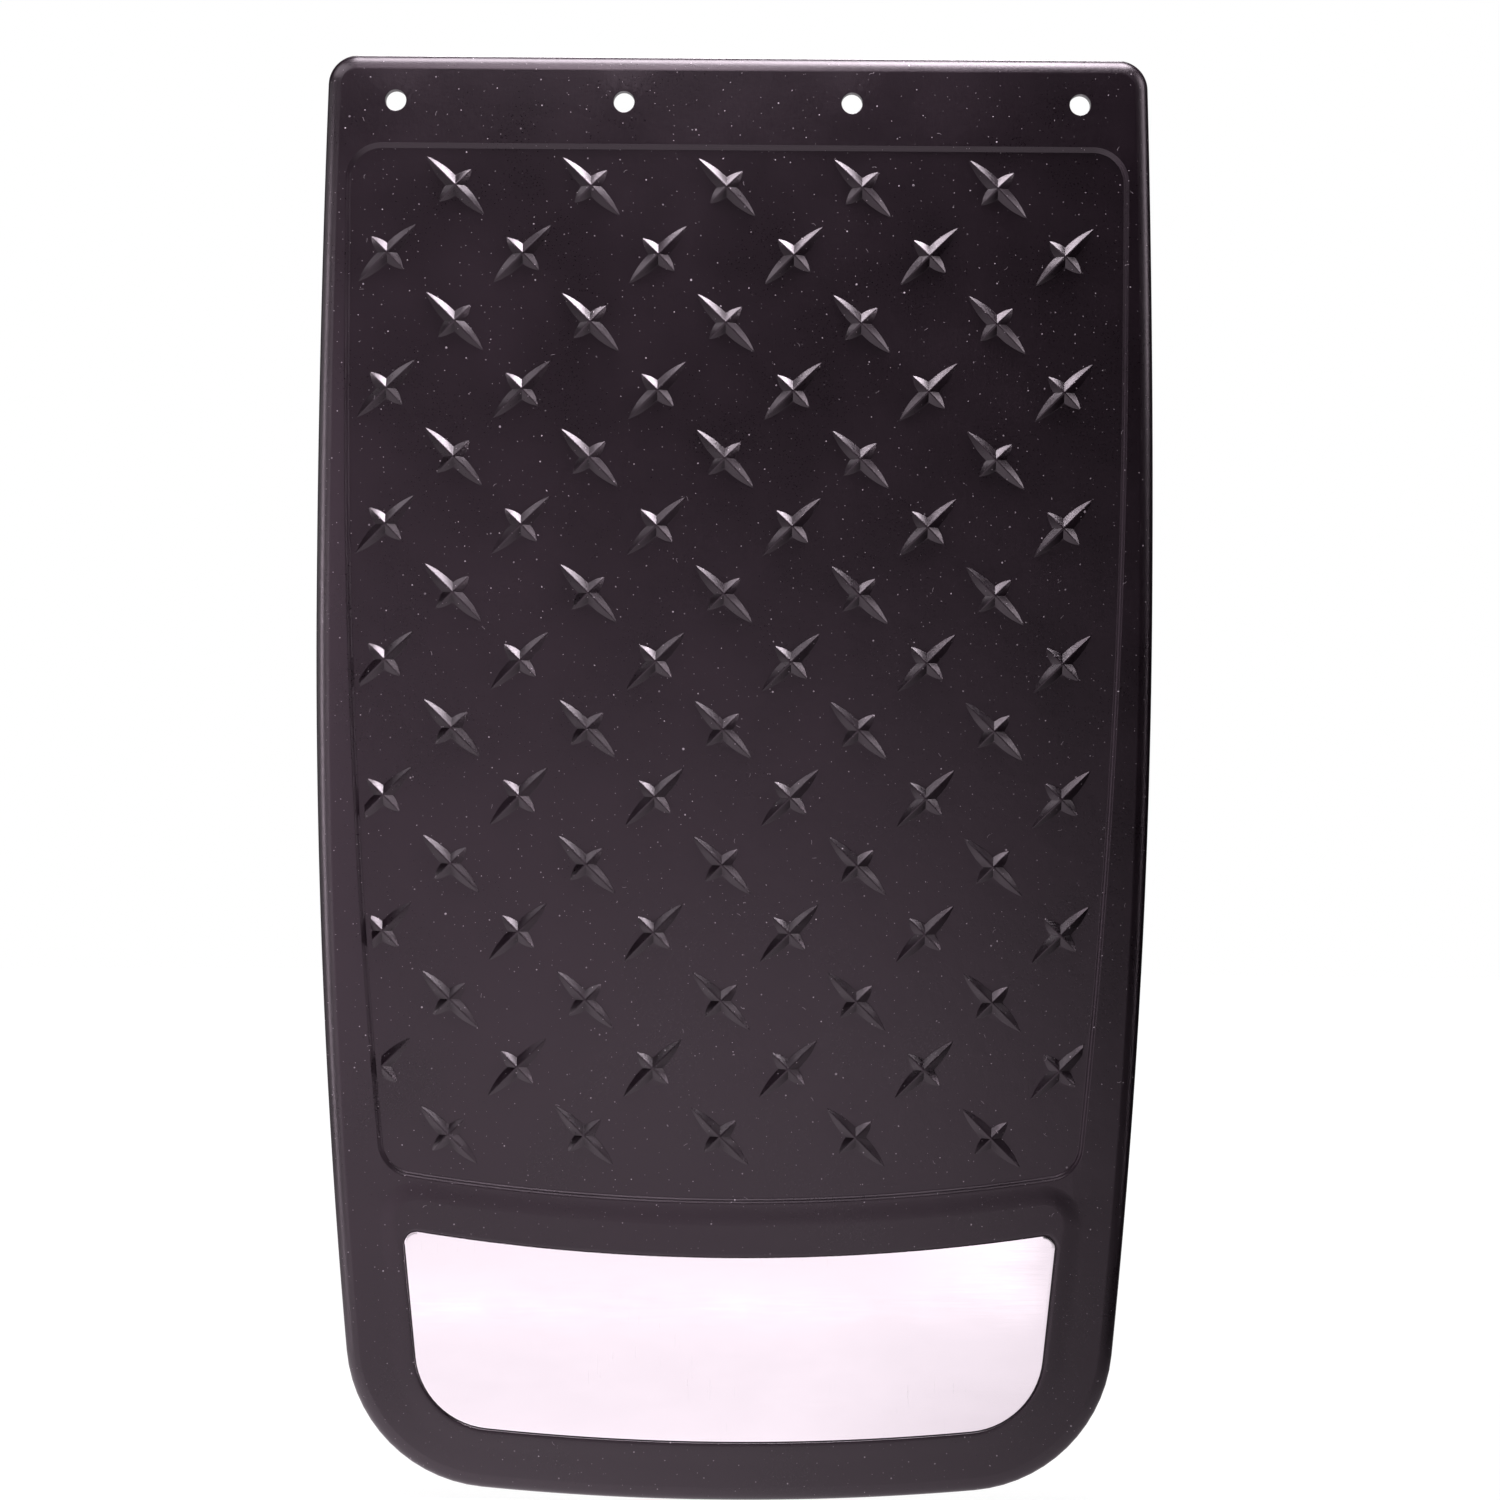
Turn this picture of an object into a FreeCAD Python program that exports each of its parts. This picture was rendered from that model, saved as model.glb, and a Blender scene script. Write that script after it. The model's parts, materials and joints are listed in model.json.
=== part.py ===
"""Moulded rubber mud flap with a bolted-on stainless trim plate, in millimetres.

The flap hangs upright: +Z is up, its patterned front faces -Y and its back faces +Y.
The origin is the centre of the row of mounting holes, on the back face of the mounting pad.
Heights named ..._HEIGHT are measured up from the flap's lowest point.
"""
import FreeCAD
import Part
import math
import os
from FreeCAD import Vector

os.makedirs("parts", exist_ok=True)

# ---- flap outline
FLAP_HEIGHT = 482.6
HALF_WIDTH = 139.9
WIDEST_HEIGHT = 300.0
UPPER_SIDE_RADIUS = 5300.0
LOWER_SIDE_RADIUS = 2658.0
BOTTOM_RADIUS = 900.0
BOTTOM_CORNER_RADIUS = 50.5
TOP_CORNER_RADIUS = 10.0

# ---- flap thickness and its rolled rim
SHEET_THICKNESS = 5.0
RIM_ROUND = 4.2

# ---- mounting pad and its row of holes
PAD_STEP = 1.0
PAD_HALF_LENGTH = 131.0
PAD_HALF_WIDTH = 12.5
PAD_CORNER_RADIUS = 6.0
HOLE_DROP = 15.3
HOLE_COUNT = 4
HOLE_SPACING = 76.2
HOLE_RADIUS = 3.5

# ---- recessed star field
FIELD_HALF_WIDTH = 130.7
FIELD_TURN_HEIGHT = 380.0
FIELD_SIDE_RADIUS = 2643.0
FIELD_LOW_HEIGHT = 99.6
FIELD_BOTTOM_RADIUS = 700.0
FIELD_TOP_HEIGHT = 453.0
FIELD_CORNER_RADIUS = 12.0
FIELD_DEPTH = 0.9
FIELD_WALL_RUN = 1.6

# ---- four-armed stars on the field
STAR_PITCH = 45.3
STAR_SHIFT = -3.6
STAR_FIRST_HEIGHT = 121.9
STAR_LONG_ARM = 13.9
STAR_SHORT_ARM = 7.8
STAR_LEAF_REACH = 6.4
STAR_LEAF_HALF_WIDTH = 2.25
STAR_NOTCH = 3.4
STAR_RISE = 2.4
STAR_CLIP_MARGIN = 1.9
LEAST_KEPT_SHARE = 0.3
UNCUT_SHARE = 0.999

# ---- trim plate
PLATE_TOP_HEIGHT = 81.4
PLATE_LOW_HEIGHT = 20.0
PLATE_TOP_RADIUS = 683.0
PLATE_BOTTOM_RADIUS = 827.0
PLATE_SIDE_HEIGHT = 60.0
PLATE_SIDE_HALF_WIDTH = 106.0
PLATE_SIDE_SLOPE = 0.1025
PLATE_TOP_CORNER_RADIUS = 3.8
PLATE_BOTTOM_CORNER_RADIUS = 26.5
PLATE_THICKNESS = 0.8

# ---- raised surround and the pocket that the plate lies in
SURROUND_MARGIN = 5.5
SURROUND_RISE = 0.5
SURROUND_SLOPE_RUN = 1.5
SURROUND_GUTTER = 4.0
SURROUND_CORNER_RADIUS = 10.0
PLATE_CLEARANCE = 0.4
PLATE_SUNK = 0.45
POCKET_LIP = 0.5

# ---- weld studs, washers and lock nuts that hold the plate
STUD_HALF_SPAN = 80.0
STUD_HALF_RISE = 16.0
STUD_MIDDLE_HEIGHT = 52.0
STUD_RADIUS = 2.0
STUD_FOOT_RADIUS = 2.75
STUD_FOOT_THICKNESS = 0.8
STUD_STICK_OUT = 1.0
STUD_HOLE_CLEARANCE = 0.3
WASHER_RADIUS = 6.0
WASHER_BORE_RADIUS = 2.15
WASHER_THICKNESS = 1.0
WASHER_SEAT_DEPTH = 0.6
WASHER_SEAT_CLEARANCE = 0.4
NUT_ACROSS_FLATS = 7.0
NUT_HEX_HEIGHT = 3.2
NUT_COLLAR_RADIUS = 3.0
NUT_HEIGHT = 5.0
THREAD_CLEARANCE = 0.03

# ---- levels worked out from the sizes above
HOLE_HEIGHT = FLAP_HEIGHT - HOLE_DROP
SHEET_BACK = -PAD_STEP
SHEET_FRONT = SHEET_BACK - SHEET_THICKNESS
FIELD_FLOOR = SHEET_FRONT + FIELD_DEPTH
SURROUND_FRONT = SHEET_FRONT - SURROUND_RISE
PLATE_FRONT = SURROUND_FRONT + PLATE_SUNK
PLATE_BACK = PLATE_FRONT + PLATE_THICKNESS
WASHER_SEAT = SHEET_BACK - WASHER_SEAT_DEPTH
NUT_SEAT = WASHER_SEAT + WASHER_THICKNESS
STUD_TIP = NUT_SEAT + NUT_HEIGHT + STUD_STICK_OUT
THROUGH = 1.0


def level(height):
    """Z of a height measured up from the flap's lowest point."""
    return height - HOLE_HEIGHT


# ---- plane curves, each with an inside: points are (x, z) pairs

def straight(x, z, inward_x, inward_z):
    """A straight boundary through a point, with the direction that leads inside."""
    size = math.hypot(inward_x, inward_z)
    return {"point": (x, z), "inward": (inward_x / size, inward_z / size)}


def arc(x, z, radius, hollow=False):
    """A round boundary about a centre; a hollow one has the inside outside the circle."""
    return {"point": (x, z), "radius": radius, "turn": -1.0 if hollow else 1.0}


def depth(curve, spot):
    """How far inside a boundary a spot lies, and the direction that leads further in."""
    across = (spot[0] - curve["point"][0], spot[1] - curve["point"][1])
    if "inward" in curve:
        inward = curve["inward"]
        return across[0] * inward[0] + across[1] * inward[1], inward
    far = math.hypot(*across)
    turn = curve["turn"]
    inward = (-turn * across[0] / far, -turn * across[1] / far)
    return turn * (curve["radius"] - far), inward


def step_in(curve, spot, wanted):
    """The spot moved along the boundary's normal until it lies the wanted depth inside."""
    found, inward = depth(curve, spot)
    return (spot[0] + inward[0] * (wanted - found), spot[1] + inward[1] * (wanted - found))


def corner_centre(first, second, radius, guess):
    """Centre of the circle inside both boundaries that touches each of them."""
    spot = guess
    for _ in range(30):
        found_a, in_a = depth(first, spot)
        found_b, in_b = depth(second, spot)
        cross = in_a[0] * in_b[1] - in_a[1] * in_b[0]
        miss_a = radius - found_a
        miss_b = radius - found_b
        move_x = (miss_a * in_b[1] - miss_b * in_a[1]) / cross
        move_z = (miss_b * in_a[0] - miss_a * in_b[0]) / cross
        spot = (spot[0] + move_x, spot[1] + move_z)
    return spot


def run(curve, start, end, inset):
    """One edge as its start, a spot between and its end; a straight one has no spot between."""
    if "inward" in curve:
        return (start, None, end)
    middle = ((start[0] + end[0]) / 2, (start[1] + end[1]) / 2)
    return (start, step_in(curve, middle, inset), end)


def right_half(sides, inset):
    """Edges of a symmetrical outline from its top to its bottom, down the right-hand side.

    sides alternates boundaries and joins. A join is (radius, guess) for a rounded corner,
    or (None, spot) where two boundaries run into each other smoothly at a spot.
    """
    curves = sides[0::2]
    joins = sides[1::2]
    edges = []
    first_end = None
    start = None
    for number, join in enumerate(joins):
        here = curves[number]
        after = curves[number + 1]
        radius, spot = join
        if radius is None:
            leave = step_in(here, spot, inset)
            arrive = leave
        else:
            centre = corner_centre(here, after, radius, spot)
            leave = step_in(here, centre, inset)
            arrive = step_in(after, centre, inset)
        if number == 0:
            first_end = leave
        else:
            edges.append(run(here, start, leave, inset))
        if radius is not None:
            toward = (leave[0] + arrive[0] - 2 * centre[0], leave[1] + arrive[1] - 2 * centre[1])
            size = math.hypot(*toward)
            reach = (radius - inset) / size
            edges.append((leave, (centre[0] + toward[0] * reach, centre[1] + toward[1] * reach), arrive))
        start = arrive
    return first_end, edges, start


def mirrored(spot):
    """The same spot on the other side of the flap's middle."""
    return (-spot[0], spot[1])


def outline_edges(sides, inset):
    """All edges of a symmetrical outline, in order and clockwise from the front."""
    first_end, right, last_start = right_half(sides, inset)
    top = run(sides[0], mirrored(first_end), first_end, inset)
    bottom = run(sides[-1], last_start, mirrored(last_start), inset)
    left = [
        (mirrored(end), None if middle is None else mirrored(middle), mirrored(start))
        for start, middle, end in reversed(right)
    ]
    return [top] + right + [bottom] + left


def outline_wire(sides, inset, y):
    """The outline as a closed wire at one Y."""
    edges = []
    for start, middle, end in outline_edges(sides, inset):
        a = Vector(start[0], y, start[1])
        b = Vector(end[0], y, end[1])
        if middle is None:
            edges.append(Part.LineSegment(a, b).toShape())
        else:
            edges.append(Part.Arc(a, Vector(middle[0], y, middle[1]), b).toShape())
    return Part.Wire(edges)


def outline_prism(sides, inset, y_from, y_to):
    """A straight-walled solid with the outline as its section."""
    face = Part.Face(outline_wire(sides, inset, y_from))
    return face.extrude(Vector(0, y_to - y_from, 0))


def outline_taper(sides, inset_from, y_from, inset_to, y_to):
    """A solid whose outline changes its inset evenly from one Y to another."""
    wires = [outline_wire(sides, inset_from, y_from), outline_wire(sides, inset_to, y_to)]
    return Part.makeLoft(wires, True, True)


# ---- the object's own outlines

def flap_sides():
    """Boundary of the whole flap."""
    widest = level(WIDEST_HEIGHT)
    top = level(FLAP_HEIGHT)
    bottom = level(0)
    return [
        straight(0, top, 0, -1),
        (TOP_CORNER_RADIUS, (HALF_WIDTH - TOP_CORNER_RADIUS, top - TOP_CORNER_RADIUS)),
        arc(HALF_WIDTH - UPPER_SIDE_RADIUS, widest, UPPER_SIDE_RADIUS),
        (None, (HALF_WIDTH, widest)),
        arc(HALF_WIDTH - LOWER_SIDE_RADIUS, widest, LOWER_SIDE_RADIUS),
        (BOTTOM_CORNER_RADIUS, (HALF_WIDTH - BOTTOM_CORNER_RADIUS, bottom + BOTTOM_CORNER_RADIUS)),
        arc(0, bottom + BOTTOM_RADIUS, BOTTOM_RADIUS),
    ]


def field_sides():
    """Boundary of the recessed field at the front face."""
    turn = level(FIELD_TURN_HEIGHT)
    top = level(FIELD_TOP_HEIGHT)
    low = level(FIELD_LOW_HEIGHT)
    corner = FIELD_CORNER_RADIUS
    return [
        straight(0, top, 0, -1),
        (corner, (FIELD_HALF_WIDTH - corner, top - corner)),
        straight(FIELD_HALF_WIDTH, turn, -1, 0),
        (None, (FIELD_HALF_WIDTH, turn)),
        arc(FIELD_HALF_WIDTH - FIELD_SIDE_RADIUS, turn, FIELD_SIDE_RADIUS),
        (corner, (FIELD_HALF_WIDTH - 2 * corner, low + 2 * corner)),
        arc(0, low + FIELD_BOTTOM_RADIUS, FIELD_BOTTOM_RADIUS),
    ]


def plate_side():
    """The plate's straight right-hand side, which leans out towards its top."""
    return straight(PLATE_SIDE_HALF_WIDTH, level(PLATE_SIDE_HEIGHT), -1, PLATE_SIDE_SLOPE)


def plate_sides():
    """Boundary of the trim plate."""
    top = level(PLATE_TOP_HEIGHT)
    low = level(PLATE_LOW_HEIGHT)
    lower_corner = PLATE_BOTTOM_CORNER_RADIUS
    return [
        arc(0, top + PLATE_TOP_RADIUS, PLATE_TOP_RADIUS, hollow=True),
        (PLATE_TOP_CORNER_RADIUS, (PLATE_SIDE_HALF_WIDTH - PLATE_TOP_CORNER_RADIUS, top)),
        plate_side(),
        (lower_corner, (PLATE_SIDE_HALF_WIDTH - lower_corner, low + lower_corner)),
        arc(0, low + PLATE_BOTTOM_RADIUS, PLATE_BOTTOM_RADIUS),
    ]


def surround_sides():
    """Boundary of the raised surround: the plate's, moved out, under a gutter below the field."""
    low = level(PLATE_LOW_HEIGHT)
    lower_corner = PLATE_BOTTOM_CORNER_RADIUS
    upper_corner = SURROUND_CORNER_RADIUS
    side = dict(plate_side())
    side["point"] = step_in(side, side["point"], -SURROUND_MARGIN)
    top = level(FIELD_LOW_HEIGHT) - SURROUND_GUTTER
    return [
        arc(0, top + FIELD_BOTTOM_RADIUS + SURROUND_GUTTER, FIELD_BOTTOM_RADIUS + SURROUND_GUTTER, hollow=True),
        (upper_corner, (PLATE_SIDE_HALF_WIDTH - upper_corner, top - upper_corner)),
        side,
        (lower_corner + SURROUND_MARGIN, (PLATE_SIDE_HALF_WIDTH - lower_corner, low + lower_corner)),
        arc(0, low + PLATE_BOTTOM_RADIUS, PLATE_BOTTOM_RADIUS + SURROUND_MARGIN),
    ]


def mounting_pad_sides():
    """Boundary of the raised pad behind the mounting holes."""
    return [
        straight(0, PAD_HALF_WIDTH, 0, -1),
        (PAD_CORNER_RADIUS, (PAD_HALF_LENGTH - PAD_CORNER_RADIUS, PAD_HALF_WIDTH - PAD_CORNER_RADIUS)),
        straight(PAD_HALF_LENGTH, 0, -1, 0),
        (PAD_CORNER_RADIUS, (PAD_HALF_LENGTH - PAD_CORNER_RADIUS, PAD_CORNER_RADIUS - PAD_HALF_WIDTH)),
        straight(0, -PAD_HALF_WIDTH, 0, 1),
    ]


# ---- places of what repeats

def hole_places():
    """Centres of the mounting holes, left to right."""
    first = -HOLE_SPACING * (HOLE_COUNT - 1) / 2
    return [(first + HOLE_SPACING * number, 0.0) for number in range(HOLE_COUNT)]


def stud_places():
    """Centres of the weld studs: one in the plate's middle and one near each corner."""
    middle = level(STUD_MIDDLE_HEIGHT)
    corners = [
        (STUD_HALF_SPAN * across, middle + STUD_HALF_RISE * up)
        for up in (1, -1)
        for across in (-1, 1)
    ]
    return [(0.0, middle)] + corners


def star_places():
    """Centres of the stars and the way their long arms lean: 1 up to the right, -1 up to the left.

    Two square grids share one pitch; the second is set half a pitch across and up.
    """
    places = []
    half = STAR_PITCH / 2
    columns = int(FIELD_HALF_WIDTH / half) + 1
    rows = int((FIELD_TOP_HEIGHT - STAR_FIRST_HEIGHT) / half) + 1
    for row in range(rows):
        for column in range(-columns, columns + 1):
            if (row + column) % 2 == 0:
                lean = -1 if row % 2 == 0 else 1
                places.append((STAR_SHIFT + column * half, level(STAR_FIRST_HEIGHT) + row * half, lean))
    return places


# ---- simple solids along Y

def pin(place, radius, y_from, y_to):
    """A cylinder along Y between two levels."""
    start = Vector(place[0], min(y_from, y_to), place[1])
    return Part.makeCylinder(radius, abs(y_to - y_from), start, Vector(0, 1, 0))


def edges_at(shape, y):
    """The edges of a shape that lie wholly in the plane at one Y."""
    box_of = [(edge, edge.BoundBox) for edge in shape.Edges]
    return [edge for edge, box in box_of if abs(box.YMin - y) < 1e-4 and abs(box.YMax - y) < 1e-4]


def star(place):
    """A star with four arms, each a ridge that falls from the middle to the arm's tip.

    A short arm is a plain pyramid. A long arm is leaf-shaped: its edges bend where it is widest.
    """
    x, z, lean = place
    centre = Vector(x, FIELD_FLOOR, z)
    apex = centre + Vector(0, -STAR_RISE, 0)
    rim = []
    for quarter in range(4):
        angle = math.radians(45 + 90 * quarter)
        along = Vector(math.cos(angle), 0, math.sin(angle))
        across = Vector(-math.sin(angle), 0, math.cos(angle))
        if (quarter % 2 == 0) == (lean == 1):
            rim.append(centre + along * STAR_LEAF_REACH - across * STAR_LEAF_HALF_WIDTH)
            rim.append(centre + along * STAR_LONG_ARM)
            rim.append(centre + along * STAR_LEAF_REACH + across * STAR_LEAF_HALF_WIDTH)
        else:
            rim.append(centre + along * STAR_SHORT_ARM)
        rim.append(centre + (along + across) * (STAR_NOTCH * math.sqrt(0.5)))
    faces = [Part.Face(Part.makePolygon(rim + [rim[0]]))]
    for number, corner in enumerate(rim):
        after = rim[(number + 1) % len(rim)]
        faces.append(Part.Face(Part.makePolygon([corner, after, apex, corner])))
    solid = Part.Solid(Part.Shell(faces))
    if solid.Volume < 0:
        solid.reverse()
    return solid


def stars():
    """The stars that lie on the field, cut off along its border where they would cross it.

    A star of which less than the least share would be left is left out.
    """
    inset = FIELD_WALL_RUN + STAR_CLIP_MARGIN
    allowed = outline_prism(field_sides(), inset, FIELD_FLOOR + STAR_RISE, FIELD_FLOOR - 2 * STAR_RISE)
    kept = []
    for place in star_places():
        whole = star(place)
        part = whole.common(allowed)
        if part.Volume < LEAST_KEPT_SHARE * whole.Volume:
            continue
        kept.append(whole if part.Volume > UNCUT_SHARE * whole.Volume else part)
    return kept


# ---- the pieces

def flap_blank():
    """The flap's sheet with its rolled rim, and the pad behind its mounting holes."""
    sheet = outline_prism(flap_sides(), 0, SHEET_BACK, SHEET_FRONT)
    sheet = sheet.makeFillet(RIM_ROUND, edges_at(sheet, SHEET_FRONT))
    pad = outline_taper(mounting_pad_sides(), 0, SHEET_BACK, PAD_STEP / 2, 0)
    return sheet.fuse(pad)


def flap_moulding():
    """The moulding: field, stars, plate pocket, hole seats and all holes."""
    body = flap_blank()
    field = outline_taper(field_sides(), 0, SHEET_FRONT, FIELD_WALL_RUN, FIELD_FLOOR)
    lip_run = POCKET_LIP + PLATE_CLEARANCE
    pocket = outline_prism(plate_sides(), -PLATE_CLEARANCE, SURROUND_FRONT, PLATE_BACK)
    lip = outline_taper(plate_sides(), -lip_run, SURROUND_FRONT, -PLATE_CLEARANCE, SURROUND_FRONT + POCKET_LIP)
    surround = outline_taper(surround_sides(), SURROUND_SLOPE_RUN, SURROUND_FRONT, 0, SHEET_FRONT)
    body = body.fuse(surround)
    cuts = [field, pocket, lip]
    for place in hole_places():
        cuts.append(pin(place, HOLE_RADIUS, SHEET_FRONT - THROUGH, THROUGH))
    stud_hole_radius = STUD_FOOT_RADIUS + STUD_HOLE_CLEARANCE
    seat_radius = WASHER_RADIUS + WASHER_SEAT_CLEARANCE
    for place in stud_places():
        cuts.append(pin(place, stud_hole_radius, PLATE_BACK, THROUGH))
        cuts.append(pin(place, seat_radius, WASHER_SEAT, THROUGH))
    body = body.cut(cuts)
    return body.fuse(stars()).removeSplitter()


def trim_plate():
    """The polished stainless plate."""
    return outline_prism(plate_sides(), 0, PLATE_BACK, PLATE_FRONT)


def plate_stud(place):
    """A weld stud: a flat foot on the plate's back and a shank that reaches past the nut."""
    foot = pin(place, STUD_FOOT_RADIUS, PLATE_BACK, PLATE_BACK + STUD_FOOT_THICKNESS)
    shank = pin(place, STUD_RADIUS, PLATE_BACK, STUD_TIP)
    return foot.fuse(shank).removeSplitter()


def flat_washer(place):
    """A flat washer in its seat on the back of the flap."""
    disc = pin(place, WASHER_RADIUS, WASHER_SEAT, NUT_SEAT)
    return disc.cut(pin(place, WASHER_BORE_RADIUS, WASHER_SEAT - THROUGH, NUT_SEAT + THROUGH))


def lock_nut(place):
    """A lock nut: a hexagon and, behind it, the round collar of its locking ring."""
    corner_radius = NUT_ACROSS_FLATS / math.sqrt(3)
    corners = []
    for number in range(7):
        angle = math.radians(60 * number)
        x = place[0] + corner_radius * math.cos(angle)
        z = place[1] + corner_radius * math.sin(angle)
        corners.append(Vector(x, NUT_SEAT, z))
    hexagon = Part.Face(Part.makePolygon(corners)).extrude(Vector(0, NUT_HEX_HEIGHT, 0))
    collar = pin(place, NUT_COLLAR_RADIUS, NUT_SEAT, NUT_SEAT + NUT_HEIGHT)
    bore = pin(place, STUD_RADIUS + THREAD_CLEARANCE, NUT_SEAT - THROUGH, STUD_TIP + THROUGH)
    return hexagon.fuse(collar).cut(bore).removeSplitter()


def write(name, shape):
    """Write one piece, and say how large it is."""
    solids = shape.Solids
    piece = solids[0] if len(solids) == 1 else shape
    print(name, len(solids), "solid", piece.isValid(), round(piece.Volume, 1))
    piece.exportStep("parts/" + name + ".step")


write("flap_moulding", flap_moulding())
write("trim_plate", trim_plate())
for number, place in enumerate(stud_places(), start=1):
    write("plate_stud_%d" % number, plate_stud(place))
    write("flat_washer_%d" % number, flat_washer(place))
    write("lock_nut_%d" % number, lock_nut(place))
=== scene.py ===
"""Mud flap with a polished trim plate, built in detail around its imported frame.

Lengths are in metres, in the frame's own axes: +Z is up, the patterned front faces -Y,
and the origin lies in the middle of the row of mounting holes. Heights are measured up
from the flap's lowest point.
"""
import json
import math

import bmesh
import bpy
from bpy.props import FloatProperty, FloatVectorProperty, PointerProperty
from mathutils import Matrix, Vector
from mathutils.geometry import delaunay_2d_cdt


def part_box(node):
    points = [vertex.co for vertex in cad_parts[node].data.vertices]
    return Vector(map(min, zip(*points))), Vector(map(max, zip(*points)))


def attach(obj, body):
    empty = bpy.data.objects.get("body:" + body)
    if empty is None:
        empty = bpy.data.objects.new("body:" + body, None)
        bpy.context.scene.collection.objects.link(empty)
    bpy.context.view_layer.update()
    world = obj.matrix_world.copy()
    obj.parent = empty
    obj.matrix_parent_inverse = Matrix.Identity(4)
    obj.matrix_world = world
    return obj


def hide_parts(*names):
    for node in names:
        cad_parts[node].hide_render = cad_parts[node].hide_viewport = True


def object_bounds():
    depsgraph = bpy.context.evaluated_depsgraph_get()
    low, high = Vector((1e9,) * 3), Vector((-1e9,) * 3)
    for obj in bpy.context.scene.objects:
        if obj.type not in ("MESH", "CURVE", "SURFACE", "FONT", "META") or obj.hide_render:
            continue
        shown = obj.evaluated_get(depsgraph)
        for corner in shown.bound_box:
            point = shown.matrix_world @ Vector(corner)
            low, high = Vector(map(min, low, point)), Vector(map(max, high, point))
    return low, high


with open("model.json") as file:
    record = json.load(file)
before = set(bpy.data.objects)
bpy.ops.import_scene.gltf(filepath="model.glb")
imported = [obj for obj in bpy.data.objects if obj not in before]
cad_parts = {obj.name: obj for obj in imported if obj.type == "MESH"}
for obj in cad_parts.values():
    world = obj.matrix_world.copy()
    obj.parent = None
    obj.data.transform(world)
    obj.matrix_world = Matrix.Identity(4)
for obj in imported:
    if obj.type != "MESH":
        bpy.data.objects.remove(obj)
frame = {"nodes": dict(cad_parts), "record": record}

bl_info = {
    "name": "Mud Flap",
    "version": (1, 0, 0),
    "blender": (4, 5, 0),
    "location": "3D View > Sidebar > Mud Flap",
    "description": "Builds a moulded mud flap, its trim plate and its fixings",
    "category": "Object",
}

CAD_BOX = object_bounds()
FLAP_LOW, FLAP_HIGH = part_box("flap_moulding")
PLATE_LOW, PLATE_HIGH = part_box("trim_plate")
WASHER_LOW, WASHER_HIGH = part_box("flat_washer_1")
NUT_LOW, NUT_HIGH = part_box("lock_nut_1")
STUD_LOW, STUD_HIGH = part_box("plate_stud_1")
FIXING_COUNT = sum(name.startswith("plate_stud_") for name in frame["nodes"])
FULL_HEIGHT = 0.4826    # of the whole flap
HOLE_HEIGHT = FULL_HEIGHT - FLAP_HIGH.z
JOINED = 1e-6           # points this close are one point
SHARP_ANGLE = math.radians(32)      # edges that turn further than this look crisp


# ---- sizes and colours that can be changed

def Length(name, description, default):
    """A length that can be changed."""
    return FloatProperty(name=name, description=description, default=default, unit="LENGTH")


def Colour(name, description, default):
    """A colour that can be changed."""
    return FloatVectorProperty(
        name=name, description=description, default=default, subtype="COLOR", size=3, min=0, max=1)


class FlapSizes(bpy.types.PropertyGroup):
    """Sizes of the flap's outline, rim and mounting pad."""

    half_width: Length("Half width", "Middle to edge at the widest height", FLAP_HIGH.x)
    widest_height: Length("Widest height", "Height at which the flap is widest", 0.3)
    upper_side_radius: Length(
        "Upper side radius", "Radius of each side above the widest height", 5.3)
    lower_side_radius: Length(
        "Lower side radius", "Radius of each side below the widest height", 2.658)
    bottom_radius: Length("Bottom radius", "Radius of the bottom edge", 0.9)
    bottom_corner_radius: Length("Bottom corner radius", "Radius of the two bottom corners", 0.0505)
    top_corner_radius: Length("Top corner radius", "Radius of the two top corners", 0.01)
    sheet_thickness: Length("Sheet thickness", "Thickness of the rubber sheet", 0.005)
    rim_width: Length("Rim width", "Width of the rolled rim as seen from the front", 0.0044)
    rim_height: Length("Rim height", "How far the rolled rim falls back", 0.0043)
    rim_crease: Length("Rim crease", "Depth of the crease inside the rim", 0.00006)
    border_fall: Length(
        "Border fall", "How far the border falls away between the field and the rim", 0.00034)
    back_edge_radius: Length("Back edge radius", "Rounding of the back edge", 0.0005)
    pad_step: Length("Pad step", "How far the mounting pad stands out of the back", 0.001)
    pad_half_length: Length("Pad half length", "Middle to end of the mounting pad", 0.131)
    pad_half_width: Length("Pad half width", "Middle to long side of the mounting pad", 0.0125)
    pad_corner_radius: Length("Pad corner radius", "Radius of the pad's corners", 0.006)
    hole_lip: Length("Hole lip", "Rounding of the edges of the mounting holes", 0.0003)


class FieldSizes(bpy.types.PropertyGroup):
    """Sizes of the recessed field that holds the stars."""

    half_width: Length("Half width", "Middle to the field's upright side", 0.1307)
    turn_height: Length("Turn height", "Height at which the side starts to curve in", 0.38)
    side_radius: Length("Side radius", "Radius of the side below that height", 2.643)
    low_height: Length("Bottom height", "Height of the field's bottom edge in its middle", 0.0996)
    bottom_radius: Length("Bottom radius", "Radius of the field's bottom edge", 0.7)
    top_height: Length("Top height", "Height of the field's straight top edge", 0.453)
    corner_radius: Length("Corner radius", "Radius of the field's corners", 0.012)
    depth: Length("Depth", "Depth of the field below the border", 0.0009)


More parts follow.
